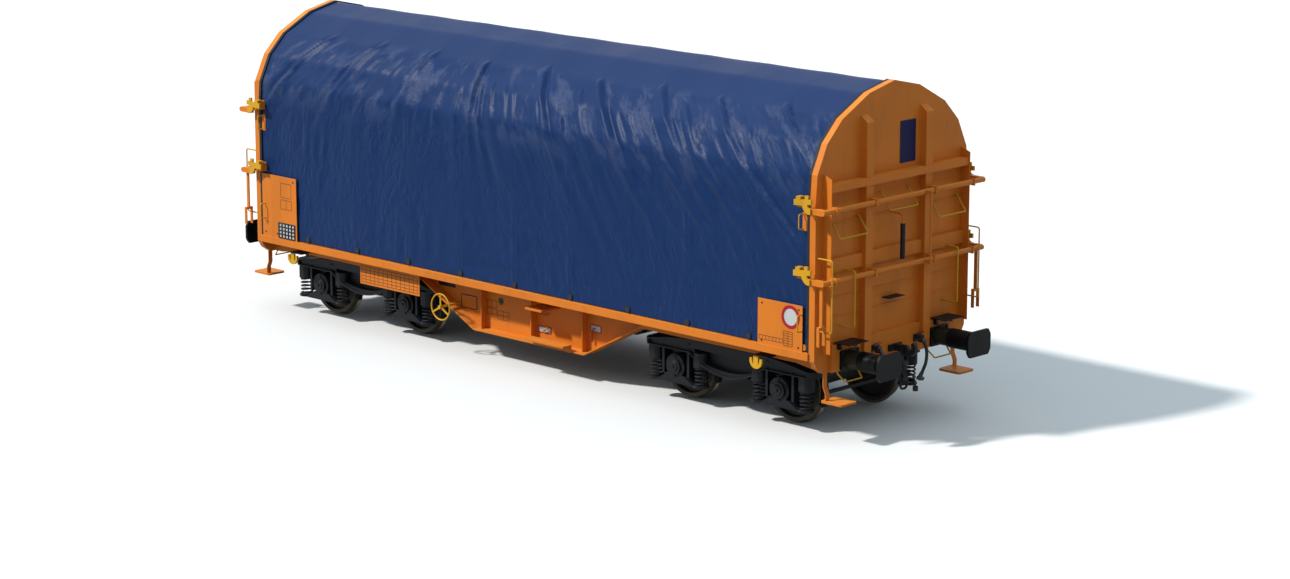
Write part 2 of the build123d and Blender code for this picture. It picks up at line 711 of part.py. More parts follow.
with BuildPart() as lock_claws:
    for bar_z in lock_bar_heights:
        with BuildSketch(Plane.XZ.offset(lock_bar_half)):
            with BuildLine():
                Polyline(
                    (end_bow_x + 195, bar_z - 36),
                    (end_bow_x + 195, bar_z + 34),
                    (end_bow_x + 165, bar_z + 42),
                    (end_bow_x + 148, bar_z + 60),
                    (end_bow_x + 146, bar_z + 84),
                    (end_bow_x + 208, bar_z + 88),
                    (end_bow_x + 208, bar_z + 149),
                    (end_bow_x - 71, bar_z + 126),
                    (end_bow_x - 71, bar_z + 55),
                    (end_bow_x + 62, bar_z + 62),
                    (end_bow_x + 80, bar_z + 20),
                    (end_bow_x + 110, bar_z - 14),
                    (end_bow_x + 150, bar_z - 36),
                    close=True,
                )
            make_face()
        extrude(amount=claw_plate)
        with Locations((end_bow_x, -lock_bar_half - claw_plate, bar_z + 158)):
            Box(70, 80, 12, align=(Align.CENTER, Align.MIN, Align.MIN))
        with Locations((end_bow_x, -lock_bar_half - claw_plate, bar_z + 120)):
            Box(70, claw_plate, 50, align=(Align.CENTER, Align.MIN, Align.MIN))
        with Locations((end_bow_x + 134, -lock_bar_half - claw_plate, bar_z + 135)):
            Box(54, claw_plate, 56, align=(Align.CENTER, Align.MIN, Align.MIN))
    mirror(about=Plane.XZ)
save_both_ends(lock_claws.part, "lock_claws")

# ================================================================ buffers, draw gear and hoses
barrel_start = headstock_x + 24
sleeve_start = barrel_start + 196
head_back = buffer_face_x - 36
with BuildPart() as buffer:
    with BuildSketch(Plane.YZ.offset(headstock_x)):
        RectangleRounded(350, 250, 24)
    extrude(amount=barrel_start - headstock_x)
    with BuildSketch(Plane.XY):
        with BuildLine():
            Polyline(
                (barrel_start, 0),
                (barrel_start, 116),
                (sleeve_start - 4, 116),
                (sleeve_start, 126),
                (head_back - 130, 126),
                (head_back - 105, 100),
                (head_back, 100),
                (head_back, 0),
                close=True,
            )
        make_face()
    revolve(axis=Axis.X)
    with BuildSketch(Plane.YZ.offset(head_back)):
        Circle(242)
        Rectangle(450, 330, mode=Mode.INTERSECT)
    extrude(amount=buffer_face_x - head_back)
with BuildPart() as buffers:
    for side in (1, -1):
        add(buffer.part.moved(Location((0, side * buffer_y, buffer_z))))
save_both_ends(buffers.part, "buffers")

hook_z = buffer_z
hook_plate = 52
hook_eye_x = headstock_x + 165
pin_radius = 20
with BuildPart() as draw_hook:
    with BuildSketch(Plane.XZ.offset(-hook_plate / 2)) as hook:
        with BuildLine():
            Polyline(
                (headstock_x, hook_z - 38),
                (headstock_x + 120, hook_z - 45),
                (headstock_x + 200, hook_z - 75),
                (headstock_x + 290, hook_z - 80),
                (headstock_x + 360, hook_z - 25),
                (headstock_x + 365, hook_z + 60),
                (headstock_x + 325, hook_z + 105),
                (headstock_x + 292, hook_z + 85),
                (headstock_x + 300, hook_z + 10),
                (headstock_x + 262, hook_z - 8),
                (headstock_x + 215, hook_z + 50),
                (headstock_x + 120, hook_z + 45),
                (headstock_x, hook_z + 38),
                close=True,
            )
        make_face()
        fillet(hook.vertices().filter_by_position(Axis.X, headstock_x + 150, headstock_x + 400), 16)
        with Locations((hook_eye_x, hook_z)):
            Circle(pin_radius + 1, mode=Mode.SUBTRACT)
    extrude(amount=hook_plate)
    with Locations((headstock_x, 0, hook_z)):
        Box(30, 250, 84, align=(Align.MIN, Align.CENTER, Align.CENTER))

shackle_drop = 190
screw_length = 200
bail_drop = 125
shackle_y = 44
nut_radius = 36
with BuildPart() as draw_gear:
    nut_z = hook_z - shackle_drop
    low_nut_z = nut_z - screw_length
    with Locations(Location((hook_eye_x, 0, hook_z), (90, 0, 0))):
        Cylinder(pin_radius, 2 * shackle_y + 24)
    for side in (1, -1):
        with Locations((hook_eye_x, side * shackle_y, hook_z + 26)):
            Box(44, 18, shackle_drop + 52, align=(Align.CENTER, Align.CENTER, Align.MAX))
    for trunnion_z in (nut_z, low_nut_z):
        with Locations(Location((hook_eye_x, 0, trunnion_z), (90, 0, 0))):
            Cylinder(nut_radius, 2 * shackle_y + 20)
    with Locations((hook_eye_x, 0, (nut_z + low_nut_z) / 2)):
        Cylinder(22, screw_length + 90)
        Cylinder(34, 60)
    add(rod([(hook_eye_x, shackle_y + 18, low_nut_z + 30), (hook_eye_x, shackle_y + 18, low_nut_z - bail_drop),
             (hook_eye_x, -shackle_y - 18, low_nut_z - bail_drop), (hook_eye_x, -shackle_y - 18, low_nut_z + 30)],
            16, 48))
    lever_z = (nut_z + low_nut_z) / 2
    add(rod([(hook_eye_x + 20, 0, lever_z), (hook_eye_x + 150, 0, lever_z - 25), (hook_eye_x + 190, 0, lever_z - 170)],
            13, 30))
    with Locations((hook_eye_x + 190, 0, lever_z - 190)):
        Cylinder(34, 60)
    add(draw_hook.part)
save_both_ends(draw_gear.part, "draw_gear")

cock_x = headstock_x + 90
cock_y = 415
cock_z = rail_top + 1045
hose_radius = 21
hose_route = [
    (cock_x + 55, cock_y, cock_z - 40),
    (cock_x + 98, cock_y - 2, cock_z - 110),
    (cock_x + 112, cock_y - 8, cock_z - 215),
    (cock_x + 100, cock_y - 22, cock_z - 330),
    (cock_x + 62, cock_y - 44, cock_z - 430),
]
hose_bends = [170, 300, 330]
outlet_run = Vector(*hose_route[1]) - Vector(*hose_route[0])
with BuildPart() as air_cocks:
    for side in (1, -1):
        with Locations((headstock_x, side * cock_y, cock_z)):
            Box(24, 90, 90, align=(Align.MIN, Align.CENTER, Align.CENTER))
        with Locations(Location((headstock_x + 20, side * cock_y, cock_z), (0, 90, 0))):
            Cylinder(24, 60, align=(Align.CENTER, Align.CENTER, Align.MIN))
        with Locations((cock_x, side * cock_y, cock_z)):
            Box(56, 70, 84)
        with Locations((cock_x, side * cock_y, cock_z + 42)):
            Cylinder(16, 34, align=(Align.CENTER, Align.CENTER, Align.MIN))
        with Locations((cock_x, side * cock_y, cock_z + 82)):
            Box(30, 92, 14)
        outlet = Plane(origin=(cock_x + 55, side * cock_y, cock_z - 40), z_dir=-outlet_run)
        with BuildSketch(outlet):
            Circle(hose_radius + 8)
        extrude(amount=46)
    blank = Plane(origin=(cock_x + 55, -cock_y, cock_z - 40), z_dir=outlet_run)
    with BuildSketch(blank):
        Circle(hose_radius + 14)
    extrude(amount=26)

with BuildPart() as air_hose:
    with BuildLine() as hose_line:
        FilletPolyline(*hose_route, radius=hose_bends)
    with BuildSketch(Plane(origin=hose_line.line @ 0, z_dir=hose_line.line % 0)):
        Circle(hose_radius)
    sweep()
save_both_ends(air_hose.part, "air_hose")
with BuildPart() as air_couplings:
    hose_end = Vector(*hose_route[-1])
    run_out = (hose_end - Vector(*hose_route[-2])).normalized()
    with BuildSketch(Plane(origin=hose_end, z_dir=run_out)):
        Circle(hose_radius + 6)
    extrude(amount=70)
    with BuildSketch(Plane(origin=hose_end + run_out * 60, x_dir=(0, 1, 0), z_dir=run_out)):
        with Locations((25, 0)):
            SlotOverall(130, 62)
    extrude(amount=36)
    add(air_cocks.part)
save_both_ends(air_couplings.part, "air_couplings")

# ================================================================ treads, steps and handrails
tread_x = end_wall_x + 15
tread_z = rail_top + 1228
tread_length = 262
tread_width = 372
with BuildPart() as tread_plates:
    for side in (1, -1):
        with Locations((tread_x, side * 937, tread_z)):
            Box(tread_length, tread_width, 8, align=(Align.MIN, Align.CENTER, Align.MIN))
        for bracket_y in (790, 1084):
            with Locations((headstock_x, side * bracket_y, block_top - 60)):
                Box(52, 40, tread_z + 2 - block_top + 60, align=(Align.MIN, Align.CENTER, Align.MIN))
    with Locations((end_wall_x, -50, rail_top + 1650)):
        Box(138, 300, 8, align=(Align.MIN, Align.CENTER, Align.MIN))
    grip_top = rail_top + 2600
    add(rod([(end_wall_x, -30, grip_top + 118), (lock_bar_x, -30, grip_top + 118), (lock_bar_x, -30, grip_top - 20)],
            11, 60))
    with Locations((lock_bar_x, -30, grip_top)):
        Cylinder(32, 450, align=(Align.CENTER, Align.CENTER, Align.MAX))
save_both_ends(tread_plates.part, "tread_plates")

step_x = end_wall_x + 138
hanger_x = end_wall_x - 15
hanger_y = 1250
step_y = 1152
step_z = rail_top + 519
with BuildPart() as corner_steps:
    for side in (1, -1):
        with BuildSketch(Plane.XY.offset(step_z - 26)):
            with Locations((step_x, side * step_y)):
                RectangleRounded(352, 306, 40)
        extrude(amount=26)
        with BuildSketch(Plane.XZ.offset(-side * hanger_y - 35)):
            with BuildLine():
                Polyline((hanger_x, headstock_low_z), (hanger_x + 12, headstock_low_z), (hanger_x + 12, step_z + 180),
                         (hanger_x + 52, step_z + 90), (hanger_x + 52, step_z), (hanger_x + 40, step_z),
                         (hanger_x + 40, step_z + 86), (hanger_x, step_z + 176), close=True)
            make_face()
        extrude(amount=70)
save_both_ends(corner_steps.part, "corner_steps")

rail_y = end_half_width - 37
inner_rail_y = 1000
rail_x = end_wall_x + 247
handle_half = 260
foot_run = 34
board_grip_x = deck_half_length - 107
grab_x = end_wall_x + 35
handle_x = end_wall_x + 185
with BuildPart() as handrails:
    for side in (1, -1):
        for y, high, low, high_seat in (
            (rail_y, rail_top + 2340, rail_top + 1430, end_wall_x),
            (inner_rail_y, rail_top + 2150, rail_top + 1430, end_wall_x + middle_beam_depth),
        ):
            add(rod([(high_seat, side * y, high), (rail_x, side * y, high), (rail_x, side * y, low),
                     (end_wall_x, side * y, low)], grab_radius, 32))
        grab_low = headstock_low_z - 130
        add(rod([(grab_x, side * 1065, headstock_low_z), (grab_x, side * 1065, headstock_low_z - foot_run),
                 (grab_x + 100, side * 1035, grab_low), (grab_x + 100, side * 715, grab_low),
                 (grab_x, side * 685, headstock_low_z - foot_run), (grab_x, side * 685, headstock_low_z)],
                grab_radius, 14))
        add(rod([(board_grip_x, side * board_face_y, rail_top + 1610),
                 (board_grip_x, side * (board_face_y + 82), rail_top + 1610),
                 (board_grip_x, side * (board_face_y + 82), rail_top + 1400),
                 (board_grip_x, side * board_face_y, rail_top + 1400)], grab_radius - 1, 24))
    for middle_y, high in ((-955, rail_top + 2785), (0, rail_top + 3005), (955, rail_top + 2785)):
        low = high - 210
        add(rod([(end_wall_x, middle_y - handle_half, high), (end_wall_x + foot_run, middle_y - handle_half, high),
                 (handle_x, middle_y - handle_half, low), (handle_x, middle_y + handle_half, low),
                 (end_wall_x + foot_run, middle_y + handle_half, high), (end_wall_x, middle_y + handle_half, high)],
                grab_radius, 18))
save_both_ends(handrails.part, "handrails")

with BuildPart() as side_steps:
    for start_x, end_x, top_z, outer, inner in (
        (80, 840, rail_top + 470, 1385, web_y + flange_out),
        (140, 450, rail_top + 900, 1400, web_y),
    ):
        with Locations((start_x, -outer, top_z)):
            Box(end_x - start_x, outer - inner, 26, align=(Align.MIN, Align.MIN, Align.MAX))
    with Locations((80, -web_y - flange_out, rail_top + 444)):
        Box(760, 12, 444 + rail_top - belly_low_z, align=(Align.MIN, Align.MAX, Align.MAX))
    add(side_steps.part.rotate(Axis.Z, 180))
save(side_steps.part, "side_steps")

brake_wheel_x = -1490
brake_wheel_y = sill_outer_y - 64
brake_wheel_z = rail_top + 650
brake_wheel_radius = 192
with BuildPart() as brake_wheels:
    with Locations(Location((brake_wheel_x, -brake_wheel_y, brake_wheel_z), (90, 0, 0))):
        Torus(brake_wheel_radius - 11, 11)
        Cylinder(26, 60)
    for spoke in (90, 210, 330):
        with Locations(Location((brake_wheel_x, -brake_wheel_y, brake_wheel_z), (0, -spoke, 0))):
            Box(brake_wheel_radius - 11, 14, 22, align=(Align.MIN, Align.CENTER, Align.CENTER))
    with Locations(Location((brake_wheel_x, -web_y, brake_wheel_z), (90, 0, 0))):
        Cylinder(17, brake_wheel_y - web_y, align=(Align.CENTER, Align.CENTER, Align.MIN))
    add(brake_wheels.part.rotate(Axis.Z, 180))
save(brake_wheels.part, "brake_wheels")

# ================================================================ boards and hooks along the sides
board_plate = 8
data_board_y = sill_outer_y - 154
data_board_x = -3245
data_board_length = 1230
with BuildPart() as side_boards:
    for start_x, end_x, high in (
        (51 - deck_half_length, 795 - deck_half_length, rail_top + 2043),
        (deck_half_length - 835, deck_half_length - 98, rail_top + 1717),
    ):
        with Locations((start_x, -board_face_y, sill_top)):
            Box(end_x - start_x, board_plate, high - sill_top, align=(Align.MIN, Align.MIN, Align.MIN))
    with Locations((data_board_x, -data_board_y, rail_top + 700)):
        Box(data_board_length, 6, 285, align=(Align.MIN, Align.MIN, Align.MIN))
    for strap_x in (data_board_x + 150, data_board_x + data_board_length - 150):
        with Locations((strap_x, 6 - data_board_y, rail_top + 780)):
            Box(50, 8, sill_top - plate - rail_top - 780, align=(Align.CENTER, Align.MIN, Align.MIN))
    add(side_boards.part.rotate(Axis.Z, 180))
save(side_boards.part, "side_boards")

rope_hook_xs = (565 - deck_half_length, deck_half_length - 955)
rope_hook_y = sill_outer_y - 109
rope_hook_z = rail_top + 868
rope_hook_radius = 104
with BuildPart() as rope_hooks:
    for place_x in rope_hook_xs:
        with Locations((place_x - 50, -sill_face_y, rail_top + 930)):
            Box(250, rope_hook_y - sill_face_y, 14, align=(Align.MIN, Align.MAX, Align.MIN))
        with BuildSketch(Plane.XZ.offset(rope_hook_y - 30)):
            with Locations((place_x, rope_hook_z)):
                Circle(rope_hook_radius)
                Circle(rope_hook_radius - 42, mode=Mode.SUBTRACT)
                Rectangle(300, 200, align=(Align.CENTER, Align.MIN), mode=Mode.SUBTRACT)
            for tip_x in (-rope_hook_radius + 21, rope_hook_radius - 21):
                with Locations((place_x + tip_x, rope_hook_z)):
                    Rectangle(36, 28, align=(Align.CENTER, Align.MIN))
            with Locations((place_x, rope_hook_z - rope_hook_radius + 20)):
                Rectangle(76, rail_top + 932 - rope_hook_z + rope_hook_radius - 20, align=(Align.CENTER, Align.MIN))
        extrude(amount=30)
    add(rope_hooks.part.rotate(Axis.Z, 180))
save(rope_hooks.part, "rope_hooks")

# ================================================================ brake gear under the load bed
reservoir_x = 1300
reservoir_z = rail_top + 750
with BuildPart() as brake_gear:
    for place_x, radius, length in ((reservoir_x, 190, 980), (-reservoir_x, 165, 560)):
        with Locations(Location((place_x, 0, reservoir_z), (90, 0, 0))):
            Cylinder(radius, length)
        side = 1 if place_x > 0 else -1
        for strap_y in (-length / 3, length / 3):
            with Locations((side * 1180, strap_y, reservoir_z + 40)):
                Box(60, 50, cross_low_z - reservoir_z - 40, align=(Align.CENTER, Align.CENTER, Align.MIN))
save(brake_gear.part, "brake_gear")

arm_height_total = 620
with BuildPart() as coil_arms:
    for arm_x in (ridge_middles[0], ridge_middles[1]):
        for side_x in (1, -1):
            for side_y in (1, -1):
                with Locations((side_x * arm_x, side_y * 620, ridge_z)):
                    Box(90, 70, arm_height_total, align=(Align.CENTER, Align.CENTER, Align.MIN))
                with Locations((side_x * arm_x, side_y * 620, ridge_z + arm_height_total - 120)):
                    Box(560, 36, 110)
save(coil_arms.part, "coil_arms")
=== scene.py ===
"""Looks of a covered coil wagon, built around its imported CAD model. Lengths are in metres."""

import math

import bpy
import numpy as np
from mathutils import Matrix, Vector


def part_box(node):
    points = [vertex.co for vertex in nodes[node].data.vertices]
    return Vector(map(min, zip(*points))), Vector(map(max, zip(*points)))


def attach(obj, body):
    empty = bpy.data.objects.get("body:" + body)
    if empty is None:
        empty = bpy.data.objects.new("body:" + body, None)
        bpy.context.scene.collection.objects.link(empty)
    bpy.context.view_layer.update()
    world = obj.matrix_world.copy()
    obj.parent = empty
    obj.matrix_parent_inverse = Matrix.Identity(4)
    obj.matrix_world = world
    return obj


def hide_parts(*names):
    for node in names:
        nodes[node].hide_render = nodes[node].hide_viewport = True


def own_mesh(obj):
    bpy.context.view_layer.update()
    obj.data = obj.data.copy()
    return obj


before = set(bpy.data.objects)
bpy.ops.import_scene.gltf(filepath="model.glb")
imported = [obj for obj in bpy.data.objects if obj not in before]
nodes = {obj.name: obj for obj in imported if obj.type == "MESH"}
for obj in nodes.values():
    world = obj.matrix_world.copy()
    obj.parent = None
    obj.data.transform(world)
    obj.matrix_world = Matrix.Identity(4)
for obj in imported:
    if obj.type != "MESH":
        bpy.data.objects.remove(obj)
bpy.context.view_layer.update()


# ---------------------------------------------------------------- Camera, floor and light
# The wagon is looked at from its near right-hand corner through a long lens. It stands on a plain pale
# floor under a soft sky that is brighter overhead, with one lamp high on the left, which leaves the near
# end in shade.
view_azimuth = math.radians(43.97)
view_elevation = math.radians(12.597)
view_lens = 94.54
view_sensor = 36.0
view_place = (31.867, -31.979, 11.012)
lamp_direction = Vector((-0.40, -0.60, 0.69))
lamp_strength = 3.95
lamp_softness = math.radians(4)
lamp_colour = (1.0, 0.98, 0.95)
sky_colour = (0.85, 1.02, 1.14)
sky_at_rim = 0.14
sky_at_top = 0.95
white = (1.0, 1.0, 1.0)
floor_half = 400.0
floor_roughness = 0.9
floor_bounce_colour = (0.23, 0.245, 0.23)
floor_seen_colour = (0.74, 0.74, 0.73)


def in_scene(name, data):
    """Object that holds this data, linked into the scene."""
    made = bpy.data.objects.new(name, data)
    bpy.context.scene.collection.objects.link(made)
    return made


camera_data = bpy.data.cameras.new("view_camera")
camera_data.lens = view_lens
camera_data.sensor_width = view_sensor
camera_data.sensor_fit = "HORIZONTAL"
camera_data.clip_end = 5 * floor_half
camera = in_scene("view_camera", camera_data)
toward_camera = Vector((
    math.sin(view_azimuth) * math.cos(view_elevation),
    -math.cos(view_azimuth) * math.cos(view_elevation),
    math.sin(view_elevation),
))
camera.location = view_place
camera.rotation_mode = "QUATERNION"
camera.rotation_quaternion = (-toward_camera).to_track_quat("-Z", "Y")
bpy.context.scene.camera = camera
bpy.context.scene.view_settings.view_transform = "Standard"

lamp_data = bpy.data.lights.new("sky_lamp", "SUN")
lamp_data.energy = lamp_strength
lamp_data.angle = lamp_softness
lamp_data.color = lamp_colour
lamp = in_scene("sky_lamp", lamp_data)
lamp.rotation_mode = "QUATERNION"
lamp.rotation_quaternion = lamp_direction.to_track_quat("Z", "Y")


class Signal:
    """Output of a shader node. It adds, subtracts, multiplies and divides as a number does, and each such
    step makes a Math node."""

    def __init__(self, socket):
        self.socket = socket
        self.tree = socket.id_data

    def worked(self, operation, *others):
        """Math node that takes this signal first and the others after it."""
        return shader_node(self.tree, "Math", "Value", dict(enumerate((self, *others))), operation=operation)

    def __add__(self, other):
        return self.worked("ADD", other)

    def __sub__(self, other):
        return self.worked("SUBTRACT", other)

    def __rsub__(self, other):
        return shader_node(self.tree, "Math", "Value", {0: other, 1: self}, operation="SUBTRACT")

    def __mul__(self, other):
        return self.worked("MULTIPLY", other)

    def __truediv__(self, other):
        return self.worked("DIVIDE", other)

    def clamped(self):
        """The same signal held between 0 and 1 by its own node."""
        self.socket.node.use_clamp = True
        return self


def feed(socket, value):
    """Links a signal into a node's input, or sets the input to a number, a list or an rgb tuple."""
    if isinstance(value, Signal):
        socket.id_data.links.new(value.socket, socket)
    elif isinstance(value, tuple):
        socket.default_value = (*value, 1.0)
    else:
        socket.default_value = value


def shader_node(tree, kind, output, inputs=None, **settings):
    """Signal from one output of a new shader node with these settings and inputs."""
    node = tree.nodes.new(f"ShaderNode{kind}")
    for name, value in settings.items():
        setattr(node, name, value)
    for label, value in (inputs or {}).items():
        feed(node.inputs[label], value)
    return Signal(node.outputs[output])


def coordinates(vector):
    """The X, Y and Z of a vector signal, by name."""
    split = shader_node(vector.tree, "SeparateXYZ", "X", {"Vector": vector}).socket.node
    return {axis: Signal(split.outputs[axis]) for axis in "XYZ"}


def mix_colour(factor, first, second):
    """Colour that goes from the first to the second, each a signal or an rgb tuple, as the factor rises."""
    return shader_node(factor.tree, "Mix", 2, {0: factor, 6: first, 7: second}, data_type="RGBA")


def seen_straight(tree):
    """1 where a surface is seen by the camera or in a reflection, and 0 where it only gives light."""
    seen = shader_node(tree, "LightPath", "Is Camera Ray")
    return seen.worked("MAXIMUM", Signal(seen.socket.node.outputs["Is Glossy Ray"]))


world = bpy.data.worlds.new("soft_sky")
bpy.context.scene.world = world
world.use_nodes = True
sky = world.node_tree
sky.nodes.clear()
sky_height = coordinates(shader_node(sky, "TexCoord", "Generated"))["Z"]
sky_strength = shader_node(sky, "MapRange", "Result", {
    "Value": sky_height, "To Min": sky_at_rim, "To Max": sky_at_top})
sky_glow = shader_node(sky, "Background", "Background", {"Color": sky_colour, "Strength": sky_strength})
sky_backdrop = shader_node(sky, "Background", "Background", {"Color": white})
sky_shown = shader_node(sky, "MixShader", "Shader", {0: seen_straight(sky), 1: sky_glow, 2: sky_backdrop})
feed(sky.nodes.new("ShaderNodeOutputWorld").inputs["Surface"], sky_shown)


def new_mesh(name, points, faces, smooth=True):
    """Mesh object at the origin from an array of points and an array or list of faces."""
    mesh = bpy.data.meshes.new(name)
    corners = [[int(corner) for corner in face] for face in faces]
    mesh.from_pydata(np.asarray(points, float).tolist(), [], corners)
    mesh.polygons.foreach_set("use_smooth", [smooth] * len(mesh.polygons))
    mesh.update()
    return in_scene(name, mesh)


floor_corners = [(floor_half * x, floor_half * y, 0) for x, y in ((-1, -1), (1, -1), (1, 1), (-1, 1))]
floor = new_mesh("floor", floor_corners, [(0, 1, 2, 3)])
floor_paint = bpy.data.materials.new("pale_floor")
floor_paint.use_nodes = True
floor_shader = floor_paint.node_tree.nodes["Principled BSDF"]
feed(floor_shader.inputs["Roughness"], floor_roughness)
feed(floor_shader.inputs["Base Color"],
     mix_colour(seen_straight(floor_paint.node_tree), floor_bounce_colour, floor_seen_colour))
floor.data.materials.append(floor_paint)


# ---------------------------------------------------------------- Paint on the steelwork
# The frame and end walls are welded steel plate, sprayed with an orange two-pack paint. It has weathered:
# rain has drawn dirt down the uprights, and dust lies on what faces up, which is also painted lighter as a
# top light. The edges are painted paler as a highlight.
def new_group(name, colours, values=(), masks=("Roughness", "Height")):
    """Shader node group that takes these colours and values and puts out Color and these masks.

    Gives the group, its inputs as signals by name, and the sockets to feed its outputs into.
    """
    group = bpy.data.node_groups.new(name, "ShaderNodeTree")
    for label in (*colours, *values):
        kind = "NodeSocketColor" if label in colours else "NodeSocketFloat"
        group.interface.new_socket(label, in_out="INPUT", socket_type=kind)
    group.interface.new_socket("Color", in_out="OUTPUT", socket_type="NodeSocketColor")
    for label in masks:
        group.interface.new_socket(label, in_out="OUTPUT", socket_type="NodeSocketFloat")
    given = group.nodes.new("NodeGroupInput").outputs
    out = group.nodes.new("NodeGroupOutput").inputs
    return group, {label: Signal(given[label]) for label in (*colours, *values)}, out


def noise(vector, scale, detail=4.0, roughness=0.6, stretch=(1.0, 1.0, 1.0)):
    """Noise from 0 to 1 over a stretched vector."""
    stretched = shader_node(vector.tree, "Mapping", "Vector", {"Vector": vector, "Scale": list(stretch)})
    return shader_node(vector.tree, "TexNoise", "Fac", {
        "Vector": stretched, "Scale": scale, "Detail": detail, "Roughness": roughness})


def rise(value, low, high):
    """Smooth rise from 0 where a signal is at low to 1 where it is at high."""
    return shader_node(value.tree, "MapRange", "Result", {"Value": value, "From Min": low, "From Max": high},
                       interpolation_type="SMOOTHSTEP")


def weathering_and_light_group():
    """Dirt, rain streaks, dust and painted light over a colour.

    Dirt is broad noise times upright streaks. Dust is a noise kept where the surface faces up, and it also
    paints those faces paler as a top light. The painted edge highlight is where a rounded normal leaves the
    flat one, and Height is a fine orange peel.
    """
    group, given, out = new_group("weathering_and_painted_light", ("Colour", "Dirt Colour", "Dusting And Top Light Colour", "Edge Highlight Colour"),
                                  ("Dirt", "Dusting And Top Light", "Edge Highlight", "Gloss"))
    place = shader_node(group, "TexCoord", "Object")
    broad = noise(place, 1.3, 5.0)
    streak = noise(place, 9.0, stretch=(1.0, 1.0, 0.09))
    fine = noise(place, 38.0, 3.0)
    peel = noise(place, 420.0, 2.0, 0.5)
    stain = (rise(broad, 0.38, 0.68) * rise(streak, 0.42, 0.66) + rise(fine, 0.60, 0.74) * 0.35).clamped()
    stain = (stain * given["Dirt"]).clamped()
    normal = shader_node(group, "NewGeometry", "Normal")
    # Dust on what faces up; it also paints those faces paler, as a painted top light.
    facing_up = rise(coordinates(normal)["Z"], 0.35, 0.95)
    dust_and_top_light_share = (facing_up * rise(broad, 0.25, 0.75) * given["Dusting And Top Light"]).clamped()
    # Painted highlight: the edges, where a rounded normal leaves the flat one, are painted paler.
    rounded = shader_node(group, "Bevel", "Normal", {"Radius": 0.006}, samples=3)
    flatness = shader_node(group, "VectorMath", "Value", {0: rounded, 1: normal}, operation="DOT_PRODUCT")
    highlit_edges = (rise(flatness, 0.995, 0.90) * rise(fine, 0.35, 0.6) * given["Edge Highlight"]).clamped()
    colour = mix_colour(rise(broad, 0.3, 0.75) * 0.16, given["Colour"], given["Dirt Colour"])
    for share, layer in ((stain, "Dirt Colour"), (dust_and_top_light_share, "Dusting And Top Light Colour"), (highlit_edges, "Edge Highlight Colour")):
        colour = mix_colour(share, colour, given[layer])
    feed(out["Color"], colour)
    feed(out["Roughness"], (given["Gloss"] + stain * 0.25 + dust_and_top_light_share * 0.3).clamped())
    feed(out["Height"], broad * 0.9 + peel * 0.12)
    return group


weathering_and_painted_light = weathering_and_light_group()


def dressed_material(name, group, values, shine=0.5, bump=0.25, distance=0.002):
    """Material whose Principled shader takes its colour, roughness, metal and bump from a group."""
    material = bpy.data.materials.new(name)
    material.use_nodes = True
    tree = material.node_tree
    shader = tree.nodes["Principled BSDF"]
    feed(shader.inputs["Specular IOR Level"], shine)
    dress = shader_node(tree, "Group", "Color", values, node_tree=group).socket.node.outputs
    for label, target in (("Color", "Base Color"), ("Roughness", "Roughness"), ("Metallic", "Metallic")):
        if label in dress:
            feed(shader.inputs[target], Signal(dress[label]))
    relief = shader_node(tree, "Bump", "Normal", {
        "Strength": bump, "Distance": distance, "Height": Signal(dress["Height"])})
    feed(shader.inputs["Normal"], relief)
    return material


def coat(colour, dirt_colour, top_light_and_dust_colour, edge_highlight_colour, dirt, top_light_and_dust, edge_highlight, gloss):
    """What the weathering and painted light group is told of a paint: its four colours, and how much of each
    layer shows.
    """
    return {"Colour": colour, "Dirt Colour": dirt_colour, "Dusting And Top Light Colour": top_light_and_dust_colour,
            "Edge Highlight Colour": edge_highlight_colour, "Dirt": dirt, "Dusting And Top Light": top_light_and_dust, "Edge Highlight": edge_highlight, "Gloss": gloss}


# Its dust colour is a bright yellow orange, so what faces up is painted lighter as a top light besides the
# dust, and the edge colour paints a highlight on the edges.
orange_coat = coat((0.640, 0.179, 0.0185), (0.20, 0.064, 0.013), (0.82, 0.36, 0.075), (0.84, 0.36, 0.09),
                   dirt=0.15, top_light_and_dust=0.48, edge_highlight=0.26, gloss=0.44)
yellow_coat = coat((0.60, 0.31, 0.010), (0.16, 0.09, 0.012), (0.66, 0.46, 0.12), (0.70, 0.55, 0.25),
                   dirt=0.26, top_light_and_dust=0.12, edge_highlight=0.22, gloss=0.42)
black_coat = coat((0.0075, 0.0085, 0.011), (0.022, 0.018, 0.014), (0.040, 0.038, 0.036), (0.08, 0.08, 0.09),
                  dirt=0.45, top_light_and_dust=0.30, edge_highlight=0.16, gloss=0.40)
primer_coat = coat((0.20, 0.20, 0.19), (0.10, 0.07, 0.05), (0.30, 0.27, 0.22), (0.42, 0.42, 0.42),
                   dirt=0.6, top_light_and_dust=0.35, edge_highlight=0.35, gloss=0.55)
orange_paint = dressed_material("orange_paint", weathering_and_painted_light, orange_coat, shine=0.14)
yellow_paint = dressed_material("yellow_paint", weathering_and_painted_light, yellow_coat, shine=0.2)
black_paint = dressed_material("black_paint", weathering_and_painted_light, black_coat, shine=0.15)
grey_primer = dressed_material("grey_primer", weathering_and_painted_light, primer_coat)


def wear_material(material, *starts):
    """Gives every CAD node whose name begins with one of these words a material in all its slots."""
    for data in (node.data for name, node in nodes.items() if name.startswith(starts)):
        if not data.materials:
            data.materials.append(material)
        for slot in range(len(data.materials)):
            data.materials[slot] = material


wear_material(orange_paint, "side_sill", "deck_edges", "cross_members", "bolsters", "headstock", "end_wall",
              "end_frame", "lock_bars", "side_steps", "side_boards", "corner_steps")
wear_material(yellow_paint, "handrails", "lock_claws", "brake_wheels")
wear_material(grey_primer, "load_bed", "coil_arms")

# ---------------------------------------------------------------- Wheelsets
# Each wheelset is two forged steel wheels pressed on an axle. Brake dust and grease have turned the discs
# black, while the rail keeps the treads bright and leaves a rusty yellow bloom beside them.
wheel_radius = 0.46
rail_top = 0.028
axle_z = rail_top + wheel_radius
tread_depths = (0.008, 0.003)
bloom_depths = (0.062, 0.030)
caked_colour = (0.030, 0.024, 0.018)


